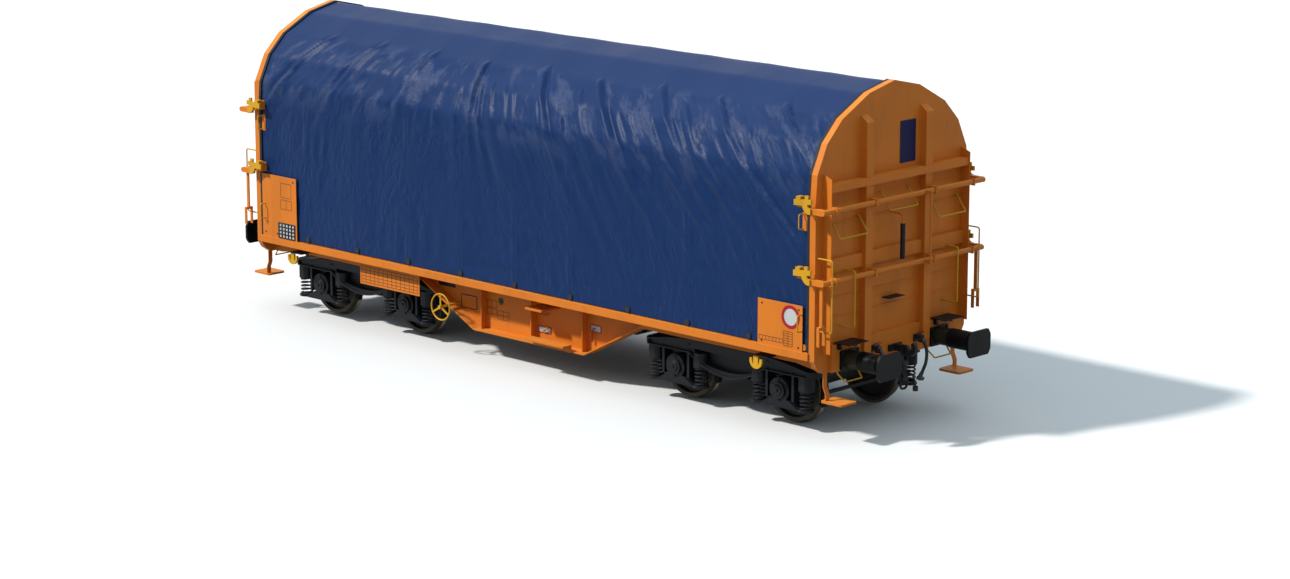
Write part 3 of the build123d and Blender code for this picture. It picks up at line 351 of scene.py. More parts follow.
def rolled_wheel_group():
    """Wheel steel coloured by the distance from the axle's middle, square root of x squared plus z squared.

    The tread is worn metal with a rusty bloom. The disc is black grease with paler rings where it has run
    outward. Height is a fine turning mark on the tread and caked dirt on the disc.
    """
    group, given, out = new_group("rolled_wheel", ("Grease Colour", "Bloom Colour", "Tread Colour"),
                                  ("Axle X",), ("Roughness", "Height", "Metallic"))
    place = shader_node(group, "TexCoord", "Object")
    spot = coordinates(place)
    along = spot["X"] - given["Axle X"]
    upward = spot["Z"] - axle_z
    reach = (along * along + upward * upward).worked("SQRT")
    broad = noise(place, 3.0, 5.0)
    fine = noise(place, 45.0)
    tread = rise(reach, *(wheel_radius - depth for depth in tread_depths))
    bloom = rise(reach, *(wheel_radius - depth for depth in bloom_depths)) * rise(broad, 0.30, 0.62)
    ring = (reach * 160.0).worked("SINE")
    caked = (rise(fine, 0.45, 0.75) * 0.5 + ring * 0.06).clamped()
    disc = mix_colour(caked, given["Grease Colour"], caked_colour)
    rusty = mix_colour(bloom * 0.8, disc, given["Bloom Colour"])
    feed(out["Color"], mix_colour(tread * rise(fine, 0.2, 0.5), rusty, given["Tread Colour"]))
    feed(out["Roughness"], 0.62 - tread * 0.25)
    feed(out["Metallic"], tread * 0.7)
    feed(out["Height"], fine + ring * 0.05)
    return group


rolled_wheel = rolled_wheel_group()
for name in (name for name in nodes if name.startswith("wheelset")):
    low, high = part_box(name)
    wheel_steel = dressed_material(f"steel_of_{name}", rolled_wheel, {
        "Axle X": (low.x + high.x) / 2, "Grease Colour": (0.0065, 0.0062, 0.0058),
        "Bloom Colour": (0.070, 0.052, 0.024), "Tread Colour": (0.16, 0.135, 0.10)}, shine=0.3)
    wear_material(wheel_steel, name)

# ---------------------------------------------------------------- Bogies
# Two welded bogies with a coil spring at each side of every axlebox. They are painted black once and never
# washed. The round axlebox covers are held by six hexagon screws, and rivets hold the guides to the frame.
ends = (("a", 1), ("b", -1))
pivot_x = 3.5
half_wheelbase = 0.9
cover_cap = 0.048
cover_face_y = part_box("axleboxes_a")[1].y - cover_cap
cover_screw_circle = 0.133
guide_face_y = 1.060
guide_rivet_shifts = np.array([-0.235, -0.205, 0.205, 0.235])
guide_rivet_zs = (0.735, 0.815)
bogie_coat = coat((0.0088, 0.0098, 0.0130), (0.016, 0.015, 0.014), (0.044, 0.043, 0.044),
                  (0.050, 0.050, 0.054), dirt=0.50, top_light_and_dust=0.30, edge_highlight=0.20, gloss=0.40)
bogie_paint = dressed_material("bogie_paint", weathering_and_painted_light, bogie_coat, shine=0.13)
wear_material(bogie_paint, "bogie_frame", "axleboxes", "brake_blocks", "brake_gear")


def ring_faces(rings, count):
    """Four-cornered faces between rings of points that are stored one after another."""
    return [[level * count + k, level * count + (k + 1) % count, (level + 1) * count + (k + 1) % count,
             (level + 1) * count + k] for level in range(rings - 1) for k in range(count)]


def joined(forms):
    """Points and faces of several (points, faces) forms as one."""
    points, faces, start = [], [], 0
    for form_points, form_faces in forms:
        points.append(np.asarray(form_points, float))
        faces += [[int(corner) + start for corner in face] for face in form_faces]
        start += len(form_points)
    return np.vstack(points), faces


def screw_heads(places, outward, radius, height):
    """Points and faces of hexagon heads: rings of six points at radius times (1, 1, 0.86) raised by height
    times (0, 0.75, 1) along the outward direction, which is level, and a middle point on top."""
    outward = np.asarray(outward, float)
    across = np.cross([0.0, 0.0, 1.0], outward)
    upward = np.cross(outward, across)
    turns = np.arange(6)[:, None] * math.pi / 3
    circle = np.cos(turns) * across + np.sin(turns) * upward
    head = np.vstack([*(circle * radius * wide + outward * height * tall
                        for wide, tall in ((1.0, 0.0), (1.0, 0.75), (0.86, 1.0))), outward * height])
    faces = ring_faces(3, 6) + [[12 + k, 12 + (k + 1) % 6, 18] for k in range(6)]
    return joined([(head + place, faces) for place in np.asarray(places, float)])


def fitted(name, form, material, body, smooth=False):
    """Mesh object from a form, in a material, riding on a body and finished from a slot."""
    piece = new_mesh(name, *form, smooth=smooth)
    piece.data.materials.append(material)
    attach(piece, body)
    return piece


cover_turns = np.arange(6) * math.pi / 3 + math.pi / 6
cover_screws = cover_screw_circle * np.column_stack([np.cos(cover_turns), np.zeros(6), np.sin(cover_turns)])
for end, sign in ends:
    forms = []
    for axle_x in (sign * pivot_x - half_wheelbase, sign * pivot_x + half_wheelbase):
        for side in (1, -1):
            outward = (0, side, 0)
            cover_middle = np.array([axle_x, side * cover_face_y, axle_z])
            cap_middle = cover_middle + (0, side * cover_cap, 0)
            forms.append(screw_heads(cover_middle + cover_screws, outward, radius=0.015, height=0.012))
            forms.append(screw_heads([cap_middle], outward, radius=0.020, height=0.014))
            for rivet_z in guide_rivet_zs:
                rivets = [(axle_x + shift, side * guide_face_y, rivet_z) for shift in guide_rivet_shifts]
                forms.append(screw_heads(rivets, outward, radius=0.013, height=0.009))
    fitted(f"bogie_screws_{end}", joined(forms), bogie_paint, f"bogie_{end}")

# ---------------------------------------------------------------- Plates and controls on the belly
# The deep middle of each sill carries thin enamelled plates, here left blank, the brake's two changeover
# levers on their pale backplates, and the ruled tables that the wagon's data are painted in.
web_y = 1.050
plate_edge = [(0, 0), (0, 0.0025), (0.001, 0.0035)]
rule_edge = [(0, 0), (0, 0.0010)]
rule_half = 0.003
rule_frame = 0.006
lever_radius = 0.010
handle_radius = 0.016
pull_rod_radius = 0.006


def plate_form(centre, across, half, corner, profile, steps=5, closed=True):
    """Points and faces of an upright plate: its outline, a rectangle with rounded corners, is drawn in by
    each inset of the profile and raised by each lift along across x up. One face closes the last ring."""
    centre, across, upward = (np.asarray(vector, float) for vector in (centre, across, (0, 0, 1)))
    outward = np.cross(across, upward)
    quarter = np.linspace(0, math.pi / 2, steps)
    rings = []
    for inset, lift in profile:
        bend = max(corner - inset, 1e-4)
        wide, high = half[0] - inset - bend, half[1] - inset - bend
        for number, (sx, sy) in enumerate(((1, 1), (-1, 1), (-1, -1), (1, -1))):
            turn = quarter + number * math.pi / 2
            ring_x, ring_z = sx * wide + bend * np.cos(turn), sy * high + bend * np.sin(turn)
            rings.append(centre + np.outer(ring_x, across) + np.outer(ring_z, upward) + lift * outward)
    count = 4 * steps
    faces = ring_faces(len(profile), count)
    if closed:
        faces.append(list(range((len(profile) - 1) * count, len(profile) * count)))
    return np.vstack(rings), faces


def on_right(at, half, corner, face_y, profile, **options):
    """Plate on the wagon's right-hand side, facing outward from the plane y = -face_y. At is its place along
    the wagon and over the rail, and half is its half width and half height."""
    return plate_form((at[0], -face_y, rail_top + at[1]), (1, 0, 0), half, corner, profile, **options)


def rim_profile(low, high, width, inner_low):
    """Profile of a raised rim: up from low to high, in by its width and down to inner_low."""
    return [(0, low), (0, high), (width, high), (width, inner_low)]


def tube_form(centres, across, other, radii, sides):
    """Points and faces of a closed bar: round each centre lies a circle of its radius in the plane of across
    and other, and a face closes each end."""
    turns = (np.arange(sides) * 2 * math.pi / sides)[None, :, None]
    circles = centres[:, None] + np.reshape(radii, (-1, 1, 1)) * (
        np.cos(turns) * across[:, None] + np.sin(turns) * other[:, None])
    count = len(centres)
    end_faces = [list(range(sides))[::-1], list(range((count - 1) * sides, count * sides))]
    return circles.reshape(-1, 3), ring_faces(count, sides) + end_faces


def unit(vectors):
    """The same vectors at length 1."""
    return vectors / np.linalg.norm(vectors, axis=-1, keepdims=True)


slant_helper = np.array([0.31, 0.87, 0.38])  # a direction that no bar or weld runs along


def rod_form(route, radius, sides=10):
    """Points and faces of a closed round bar: a circle carried along the route's points, each circle lying
    in the plane halfway between the runs that meet there."""
    route = np.asarray(route, float)
    runs = unit(np.diff(route, axis=0))
    heading = unit(np.vstack([runs[:1], runs[:-1] + runs[1:], runs[-1:]]))
    across = unit(np.cross(heading, slant_helper))
    return tube_form(route, across, np.cross(heading, across), np.full(len(route), radius), sides)


def off_web(*stops):
    """Route of a bar from stops given along the wagon, out from the right-hand web and over the rail."""
    return [(along, -web_y - out, rail_top + height) for along, out, height in stops]


def framed_lines(at, half, face_y, columns, rows):
    """A ruled table painted as thin raised lines: its outer frame and the rules between."""
    forms = [on_right(at, half, 0.008, face_y, rim_profile(0, 0.0012, rule_frame, 0), closed=False)]
    for k in range(1, columns):
        rule_at = (at[0] - half[0] + 2 * half[0] * k / columns, at[1])
        forms.append(on_right(rule_at, (rule_half, half[1] - rule_frame), 0.001, face_y, rule_edge, steps=2))
    for k in range(1, rows):
        rule_at = (at[0], at[1] - half[1] + 2 * half[1] * k / rows)
        forms.append(on_right(rule_at, (half[0] - rule_frame, rule_half), 0.001, face_y, rule_edge, steps=2))
    return joined(forms)


def on_both(name, forms, material, smooth=False):
    """Piece of the wagon made of these forms and of the same ones half a turn about its middle."""
    points, faces = joined(forms)
    both = joined([(points, faces), (points * (-1, -1, 1), faces)])
    return fitted(name, both, material, "wagon", smooth)


def enamel(name, colour, gloss=0.28, shine=0.3):
    """Glossy enamel in a colour, with the dirt of the road on it and its edges painted paler as a highlight.
    """
    dirty = tuple(0.35 * value for value in colour)
    highlit_edges = tuple(min(1.0, 0.3 + value) for value in colour)
    return dressed_material(name, weathering_and_painted_light, coat(
        colour, dirty, (0.34, 0.30, 0.25), highlit_edges, dirt=0.3, top_light_and_dust=0.2, edge_highlight=0.25, gloss=gloss), shine)


pale_enamel = enamel("pale_enamel", (0.50, 0.51, 0.50))
dark_enamel = enamel("dark_enamel", (0.012, 0.014, 0.018), gloss=0.4, shine=0.1)
red_enamel = enamel("red_enamel", (0.36, 0.012, 0.022), shine=0.15)
green_enamel = enamel("green_enamel", (0.016, 0.026, 0.010), shine=0.1)
lime_enamel = enamel("lime_enamel", (0.10, 0.13, 0.02), shine=0.1)
painted_line = enamel("painted_line", (0.040, 0.015, 0.008), gloss=0.5, shine=0.1)

name_plate_at = (-1.317, 0.690)
round_plate_at = (-0.685, 0.793)
load_change_at = (0.161, 0.537)
brake_change_at = (1.132, 0.707)
change_rim = rim_profile(0, 0.006, 0.014, 0.002)
on_both("belly_name_plate", [on_right(name_plate_at, (0.150, 0.085), 0.010, web_y, plate_edge)], orange_paint)
on_both("belly_plate_frame", [
    on_right(name_plate_at, (0.159, 0.096), 0.014, web_y, rim_profile(0, 0.005, 0.012, 0.002), closed=False),
], dark_enamel)
# A thin black plate at the top of the web, just under the sill, where the web is dark; its black is partly
# painted shade.
on_both("belly_upper_strip", [on_right((-1.76, 0.866), (0.170, 0.026), 0.006, web_y, plate_edge)],
        dark_enamel)
on_both("belly_tables", [
    framed_lines((-0.865, 0.735), (0.100, 0.050), web_y, 2, 1),
    framed_lines((-0.865, 0.630), (0.100, 0.042), web_y, 2, 1),
    framed_lines((-0.643, 0.597), (0.115, 0.062), web_y, 2, 2),
], painted_line)
on_both("belly_round_plate", [
    on_right(round_plate_at, (0.048, 0.048), 0.048, web_y, [(0, 0), (0, 0.004), (0.002, 0.005)], steps=8),
], green_enamel)
on_both("belly_round_rim", [
    on_right(round_plate_at, (0.038, 0.038), 0.038, web_y, rim_profile(0.005, 0.007, 0.010, 0.005), steps=8,
             closed=False),
], lime_enamel)
on_both("changeover_plates", [
    on_right(load_change_at, (0.115, 0.036), 0.012, web_y, plate_edge),
    on_right(brake_change_at, (0.088, 0.040), 0.012, web_y, plate_edge),
], pale_enamel)
on_both("changeover_frames", [
    on_right(load_change_at, (0.127, 0.048), 0.016, web_y, change_rim, closed=False),
    on_right(brake_change_at, (0.100, 0.052), 0.016, web_y, change_rim, closed=False),
], red_enamel)
on_both("changeover_lever", [
    rod_form(off_web((1.116, 0, 0.712), (1.116, 0.030, 0.712), (1.112, 0.042, 0.695), (1.095, 0.048, 0.560)),
             lever_radius),
    rod_form(off_web((1.0955, 0.048, 0.566), (1.093, 0.048, 0.538)), handle_radius, 12),
], red_enamel)
on_both("load_lever", [
    rod_form(off_web((0.161, 0, 0.527), (0.161, 0.030, 0.527), (0.172, 0.042, 0.535), (0.262, 0.048, 0.590)),
             lever_radius),
], yellow_paint)
on_both("pull_rod", [
    rod_form(off_web((0.0062, 0.030, 0.790), (0.020, 0.040, 0.768), (0.240, 0.040, 0.758),
                     (0.256, 0.034, 0.775), (0.256, 0, 0.778)), pull_rod_radius),
], red_enamel)

# ---------------------------------------------------------------- Signs on the end walls
# Between the two posts of each end wall hangs an upright sign of dark blue enamel in a thin folded frame,
# left blank. Screws hold the bearings of the two locking bars, and welds run down beside the posts.
end_wall_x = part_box("end_wall_a")[1].x
sign_y, sign_z = 0.265, 3.58
post_y = 0.572
post_edges = (0.506, 0.638)
post_foot_z, post_head_z = rail_top + 1.24, rail_top + 3.98
weld_leg = 0.005
weld_step = 0.012
weld_ripple = 0.022
bearing_face_x = end_wall_x + 0.105
bearing_screw_y, bearing_screw_z = 0.034, 0.062
lock_bar_heights = (2.940, 2.060)
sign_blue = enamel("sign_blue", (0.012, 0.012, 0.065), gloss=0.4, shine=0.06)


def on_end(half, corner, profile, **options):
    """Plate at the sign's place on end wall a, facing outward from it."""
    return plate_form((end_wall_x, sign_y, rail_top + sign_z), (0, 1, 0), half, corner, profile, **options)


def weld_bead(start, finish, seed):
    """Points and faces of a fillet weld: a round bar along a straight line whose radius swells with every
    ripple of the weld, a sine along its length with a little noise, and runs thin at both ends."""
    start, finish = np.asarray(start, float), np.asarray(finish, float)
    length = np.linalg.norm(finish - start)
    count = max(int(length / weld_step), 4)
    share = np.linspace(0, 1, count)
    heading = (finish - start) / length
    across = unit(np.cross(heading, slant_helper))
    swell = weld_leg * (1 + 0.16 * np.sin(share * length / weld_ripple * 2 * math.pi)
                        + 0.10 * np.random.default_rng(seed).uniform(-1, 1, count))
    swell[[0, -1]] *= 0.35
    return tube_form(start + share[:, None] * (finish - start), across[None], np.cross(heading, across)[None],
                     swell, 6)


on_both("end_sign", [on_end((0.145, 0.262), 0.010, plate_edge)], sign_blue)
on_both("end_sign_frame", [on_end((0.151, 0.268), 0.014, rim_profile(0, 0.006, 0.008, 0.002), closed=False)],
        dark_enamel)
on_both("end_welds", [
    weld_bead((end_wall_x, side * edge, post_foot_z), (end_wall_x, side * edge, post_head_z),
              int(1000 * edge) + side)
    for side in (1, -1) for edge in post_edges], orange_paint, smooth=True)
on_both("bearing_screws", [screw_heads(
    [(bearing_face_x, side * (post_y + shift), rail_top + bar_height + lift) for side in (1, -1)
     for shift in (-bearing_screw_y, bearing_screw_y) for bar_height in lock_bar_heights
     for lift in (-bearing_screw_z, bearing_screw_z)],
    (1, 0, 0), radius=0.011, height=0.008)], orange_paint)

# ---------------------------------------------------------------- Buffers and draw gear
# Each buffer is a steel barrel with a sleeve and a broad oval-sided head, on a plate that four screws hold
# to the headstock. The barrel has kept its olive primer, and grease blackens the sleeve and the head.
headstock_x = end_wall_x + 0.055
buffer_plate_x = headstock_x + 0.024
barrel_ends = (headstock_x + 0.0245, headstock_x + 0.219)
buffer_y = 0.875
buffer_z = rail_top + 0.995
buffer_screw_y, buffer_screw_z = 0.145, 0.095
orange_from_z = rail_top + 2.6
buffer_black = coat((0.0045, 0.0050, 0.0065), (0.011, 0.010, 0.009), (0.040, 0.038, 0.036),
                    (0.05, 0.05, 0.055), dirt=0.6, top_light_and_dust=0.25, edge_highlight=0.14, gloss=0.34)
barrel_olive = coat((0.032, 0.028, 0.017), (0.018, 0.014, 0.010), (0.080, 0.068, 0.048), (0.10, 0.10, 0.09),
                    dirt=0.5, top_light_and_dust=0.35, edge_highlight=0.2, gloss=0.4)
tread_black = coat((0.0075, 0.0082, 0.0100), (0.020, 0.016, 0.012), (0.030, 0.028, 0.026),
                   (0.07, 0.07, 0.075), dirt=0.4, top_light_and_dust=0.25, edge_highlight=0.25, gloss=0.42)
tread_orange = {**orange_coat, "Dirt": 0.2, "Dusting And Top Light": 0.2, "Edge Highlight": 0.2}


def placed_mask(tree, axis, low, high=5.0, blur=0.002, mirrored=False):
    """1 where an object coordinate, or its size when mirrored, lies between low and high."""
    value = coordinates(shader_node(tree, "TexCoord", "Object"))[axis]
    if mirrored:
        value = value.worked("ABSOLUTE")
    return rise(value, low - blur, low + blur) * rise(value, high + blur, high - blur)


def banded_material(name, base_coat, band_coat, *bands, shine=0.5):
    """Weathered paint with another paint's colour where all the bands hold, each as placed_mask takes it."""
    material = dressed_material(name, weathering_and_painted_light, base_coat, shine)
    tree = material.node_tree
    base_colour = tree.nodes["Principled BSDF"].inputs["Base Color"]
    first, *rest = (placed_mask(tree, **band) for band in bands)
    band_colour = shader_node(tree, "Group", "Color", band_coat, node_tree=weathering_and_painted_light)
    feed(base_colour, mix_colour(math.prod(rest, start=first), Signal(base_colour.links[0].from_socket),
                                 band_colour))
    return material


barrel_band = {"axis": "X", "low": barrel_ends[0], "high": barrel_ends[1], "mirrored": True}
wear_material(banded_material("buffer_paint", buffer_black, barrel_olive, barrel_band, shine=0.09), "buffers")
wear_material(black_paint, "draw_gear")
wear_material(banded_material("tread_paint", tread_black, tread_orange, {"axis": "Z", "low": orange_from_z},
                              shine=0.12), "tread_plates")
on_both("buffer_screws", [screw_heads(
    [(buffer_plate_x, side * buffer_y + shift, buffer_z + lift) for side in (1, -1)
     for shift in (-buffer_screw_y, buffer_screw_y) for lift in (-buffer_screw_z, buffer_screw_z)],
    (1, 0, 0), radius=0.019, height=0.015)], black_paint)

# ---------------------------------------------------------------- Air hoses
# A rubber brake hose hangs from the angle cock at each end, beside the draw gear, and ends in its cast
# coupling head. It is stiff, so it falls in one easy bend. The unused cock on the other side is capped.
cock_handle_z = rail_top + 1.113
cock_red = coat((0.20, 0.008, 0.010), (0.05, 0.010, 0.008), (0.20, 0.10, 0.08), (0.30, 0.12, 0.10),
                dirt=0.3, top_light_and_dust=0.2, edge_highlight=0.3, gloss=0.4)
cock_black = coat((0.0070, 0.0075, 0.0085), (0.020, 0.016, 0.012), (0.045, 0.040, 0.035), (0.08, 0.08, 0.08),
                  dirt=0.5, top_light_and_dust=0.3, edge_highlight=0.25, gloss=0.4)
wear_material(banded_material("cock_paint", cock_black, cock_red, {"axis": "Z", "low": cock_handle_z}),
              "air_couplings")
hose_route = np.array([(5.515, 0.415, 1.033), (5.558, 0.413, 0.963), (5.572, 0.407, 0.858),
                       (5.560, 0.393, 0.743), (5.522, 0.371, 0.643)])
hose_diameter = 0.042


def moulded_rubber_group():
    """Hose rubber: black with a grey bloom, where a broad noise is high, and the fine ribs of its cloth wrap,
    a sine of the height."""
    group, given, out = new_group("moulded_rubber", ("Colour", "Bloom Colour"))
    place = shader_node(group, "TexCoord", "Object")
    bloom = rise(noise(place, 14.0), 0.42, 0.70)
    rib = (coordinates(place)["Z"] * 900.0).worked("SINE")
    feed(out["Color"], mix_colour(bloom, given["Colour"], given["Bloom Colour"]))
    feed(out["Roughness"], bloom * 0.2 + 0.55)
    feed(out["Height"], rib * 0.4)
    return group


hose_skin = dressed_material("hose_skin", moulded_rubber_group(), {
    "Colour": (0.008, 0.008, 0.009), "Bloom Colour": (0.030, 0.029, 0.028)}, shine=0.3)
for end, sign in ends:
    route = hose_route * (sign, sign, 1)
    hose_curve = bpy.data.curves.new(f"brake_hose_{end}", "CURVE")
    hose_curve.dimensions = "3D"
    hose_curve.bevel_depth = hose_diameter / 2
    hose_curve.bevel_resolution = 5
    hose_curve.resolution_u = 16
    hose_spline = hose_curve.splines.new("NURBS")
    hose_spline.points.add(len(route) - 1)
    hose_spline.points.foreach_set("co", np.column_stack([route, np.ones(len(route))]).ravel())
    hose_spline.order_u = 3
    hose_spline.use_endpoint_u = True
    hose = in_scene(f"brake_hose_{end}", hose_curve)
    hose_curve.materials.append(hose_skin)
    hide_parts(f"air_hose_{end}")
    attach(hose, "wagon")

# ---------------------------------------------------------------- Side boards
# Two sheet-steel boards stand on each side, one tall and one short, held by four screws each. On them are
# a round enamel plate with a red rim, a wire holder for papers and the ruled tables, all of them blank.
board_face_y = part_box("side_boards")[1].y
data_board_face_y = 1.335
board_screw_places = (
    (4.460, 1.663), (5.067, 1.663), (4.456, 1.185), (5.065, 1.185),
    (-5.110, 1.985), (-4.495, 1.985), (-5.110, 1.200), (-4.860, 1.200))
holder_at = (-4.646, 1.260)
holder_half = (0.172, 0.106)
sheet_edge = [(0, 0), (0, 0.002)]
upright_wire = [(0, 0.002), (0, 0.010), (0.003, 0.012)]
level_wire = [(0, 0.002), (0, 0.009), (0.003, 0.011)]
big_round_at = (4.934, 1.551)
on_both("board_screws", [screw_heads(
    [(along, -board_face_y, rail_top + height) for along, height in board_screw_places],
    (0, -1, 0), radius=0.012, height=0.008)], dark_enamel)
on_both("holder_back", [on_right(holder_at, (0.176, 0.110), 0.006, board_face_y, sheet_edge)], pale_enamel)
on_both("holder_wires", [
    *(on_right((holder_at[0] + holder_half[0] * share, holder_at[1]), (0.010, holder_half[1]), 0.004,
               board_face_y, upright_wire, steps=3) for share in np.linspace(-1, 1, 6)),
    *(on_right((holder_at[0], holder_at[1] + holder_half[1] * share), (holder_half[0] + 0.010, 0.008), 0.004,
               board_face_y, level_wire, steps=3) for share in np.linspace(-1, 1, 5)),
], dark_enamel)
on_both("board_lines", [
    framed_lines((-4.655, 1.845), (0.115, 0.105), board_face_y, 1, 1),
    framed_lines((-4.655, 1.640), (0.120, 0.070), board_face_y, 2, 1),
    framed_lines((4.895, 1.270), (0.075, 0.095), board_face_y, 2, 6),
    framed_lines((4.610, 1.225), (0.200, 0.028), board_face_y, 7, 1),
], painted_line)
on_both("round_plate", [on_right(big_round_at, (0.130, 0.130), 0.130, board_face_y, sheet_edge, steps=10)],
        pale_enamel)
on_both("round_plate_rim", [
    on_right(big_round_at, (0.150, 0.150), 0.150, board_face_y,
             [(0, 0), (0, 0.003), (0.001, 0.004), (0.043, 0.004), (0.043, 0.002)], steps=10, closed=False),
], red_enamel)
on_both("data_board_lines", [framed_lines((-2.63, 0.843), (0.585, 0.115), data_board_face_y, 13, 5)],
        painted_line)

# ---------------------------------------------------------------- Rope hooks
# Anchor-shaped hooks for the shunting rope hang from black brackets under each sill, flame-cut from thick
# plate and painted yellow.
bracket_foot_z = rail_top + 0.9295
hook_yellow = coat((0.62, 0.33, 0.012), (0.16, 0.09, 0.012), (0.60, 0.42, 0.14), (0.66, 0.52, 0.26),
                   dirt=0.22, top_light_and_dust=0.12, edge_highlight=0.2, gloss=0.42)
wear_material(banded_material("hook_paint", hook_yellow, cock_black,
                              {"axis": "Z", "low": bracket_foot_z, "blur": 0.0005}, shine=0.2), "rope_hooks")

# ---------------------------------------------------------------- Hood bows, knobs and end seals
# The bows are galvanised square tube, with a turned iron knob outside the cloth at each foot. The two end
# bows are painted orange with yellow grips, and a black rubber lip seals the hood against each end wall.
knob_foot_y = 1.447
grip_foot_y = 1.4575
grip_low, grip_high = 2.66, 2.90
bow_zinc = coat((0.22, 0.225, 0.225), (0.11, 0.10, 0.09), (0.30, 0.28, 0.25), (0.42, 0.42, 0.42),
                dirt=0.5, top_light_and_dust=0.3, edge_highlight=0.3, gloss=0.42)
knob_iron = coat((0.014, 0.014, 0.015), (0.016, 0.014, 0.012), (0.06, 0.056, 0.050), (0.12, 0.12, 0.11),
                 dirt=0.4, top_light_and_dust=0.3, edge_highlight=0.35, gloss=0.40)
seal_black = coat((0.0075, 0.0085, 0.0100), (0.025, 0.024, 0.022), (0.05, 0.05, 0.05), (0.05, 0.05, 0.05),
                  dirt=0.35, top_light_and_dust=0.2, edge_highlight=0.1, gloss=0.60)
knob_band = {"axis": "Y", "low": knob_foot_y, "mirrored": True}
grip_bands = ({"axis": "Y", "low": grip_foot_y, "blur": 0.0005, "mirrored": True},
              {"axis": "Z", "low": rail_top + grip_low, "high": rail_top + grip_high})
wear_material(banded_material("bow_finish", bow_zinc, knob_iron, knob_band, shine=0.25), "cover_bow")
wear_material(banded_material("end_bow_paint", orange_coat, hook_yellow, *grip_bands, shine=0.16),
              "cover_end_bow")
wear_material(dressed_material("seal_rubber", weathering_and_painted_light, seal_black, shine=0.25), "end_seals")

# ---------------------------------------------------------------- Tarpaulin hood
# The hood is one sheet of coated polyester cloth, welded from panels as wide as the bows are apart. It is
# stretched over the bows, held by the knobs along its hem and pulled tight from the shoulders, where it
# puckers into long slanting folds. It opens by sliding its front bow, and then lies folded between the bows.
arch_corners = [(1.465, 3.060), (1.440, 3.367), (1.264, 3.732), (0.988, 4.005), (0.483, 4.269)]
arch_crown = 4.378
arch_bend = 0.26
below_hem_z = 0.5
hood_inset = 0.0195
hood_low, hood_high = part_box("cover_tarpaulin")
bow_pitch = 1.054
bow_count = 9
end_bow_x = 5.135
bow_half_width = 0.035
middle_bows = [(k - (bow_count - 1) / 2) * bow_pitch for k in range(bow_count)]
bow_places = np.array([-end_bow_x, *middle_bows, end_bow_x])
cloth_columns = 560
cloth_rows = 170
roof_fades = (0.9, 1.4)
shoulder_begins = (0.85, 1.35)
shoulder_fades = (2.0, 2.9)
side_begins = (2.0, 2.5)
hem_begins = (2.9, 3.3)
fold_turn = 1.4
fold_turn_span = 2.2
steepest_lean = 1.05
long_reach, short_reach = 1.9, 0.9
fold_starts = (0.03, 0.24, 0.43, 0.62, 0.81)
spike_height = 0.042
fold_height = 0.024
hem_seam_rise = 0.26
# Its dust colour is a paler blue: with it, what faces up is painted paler as a top light as well as dusted.
coated_blue = {"Colour": (0.0058, 0.0242, 0.0915), "Dusting And Top Light Colour": (0.040, 0.070, 0.165), "Dusting And Top Light": 0.22}
# Pale blue grey of the painted sheen in patches across the shoulder band.
sheen_colour = (0.115, 0.135, 0.215)
seam_colour = (0.004, 0.010, 0.035)


def rounded_outline(corners, radius, steps=10):
    """Polyline through the corners with each inner corner replaced by an arc of the given radius."""
    outline = [corners[0]]
    for before, corner, after in zip(corners[:-2], corners[1:-1], corners[2:]):
        arrive, leave = unit(corner - before), unit(after - corner)
        turn = math.acos(float(np.clip(arrive @ leave, -1, 1)))
        inward, along = unit(leave - arrive), unit(arrive + leave)
        centre = corner + inward * radius / math.cos(turn / 2)
        spread = np.linspace(-turn / 2, turn / 2, steps)
        arc = np.outer(np.sin(spread), along) - np.outer(np.cos(spread), inward)
        outline += list(centre + radius * arc)
    outline.append(corners[-1])
    return np.array(outline)


def hood_section(inset, foot):
    """Cross-section of the hood as a line of (y, z) points from its foot on one side over to the other.

    The arch's straight runs are moved inward by the inset, met again, and rounded at their corners.
    """
    half = np.array([(arch_corners[0][0], below_hem_z), *arch_corners, (0.0, arch_crown)]) + (0, rail_top)
    whole = np.vstack([half, half[-2::-1] * (-1, 1)])
    runs = np.diff(whole, axis=0)
    starts = whole[:-1] + unit(np.column_stack([-runs[:, 1], runs[:, 0]])) * inset
    met = [starts[0]]
    for start, run, next_start, next_run in zip(starts, runs, starts[1:], runs[1:]):
        share = np.linalg.solve(np.column_stack([run, -next_run]), next_start - start)[0]
        met.append(start + run * share)
    met = np.array([*met, starts[-1] + runs[-1]])
    met[0, 1] = met[-1, 1] = foot
    return rounded_outline(met, arch_bend - inset)


def along_outline(outline, spots):
    """Points and outward normals of a line at the given distances along it."""
    steps = np.linalg.norm(np.diff(outline, axis=0), axis=1)
    reach = np.concatenate([[0], np.cumsum(steps)])
    points = np.column_stack([np.interp(spots, reach, outline[:, axis]) for axis in (0, 1)])
    tangent = unit(np.gradient(points, axis=0))
    return points, np.column_stack([tangent[:, 1], -tangent[:, 0]])


def soft_noise(u, v, seed):
    """Noise from -1 to 1: random heights on a lattice of whole numbers, joined by a smooth step."""
    heights = np.random.default_rng(seed).uniform(-1, 1, (257, 257))
    heights[-1], heights[:, -1] = heights[0], heights[:, 0]
    cell_u, cell_v = np.floor(u), np.floor(v)
    part_u, part_v = (part * part * (3 - 2 * part) for part in (u - cell_u, v - cell_v))
    i, j = cell_u.astype(int) % 256, cell_v.astype(int) % 256
    low = heights[i, j] * (1 - part_u) + heights[i + 1, j] * part_u
    high = heights[i, j + 1] * (1 - part_u) + heights[i + 1, j + 1] * part_u
    return low * (1 - part_v) + high * part_v


def smooth_step(value, low, high):
    """0 below low, 1 above high, and a smooth rise between."""
    share = np.clip((value - low) / (high - low), 0, 1)
    return share * share * (3 - 2 * share)


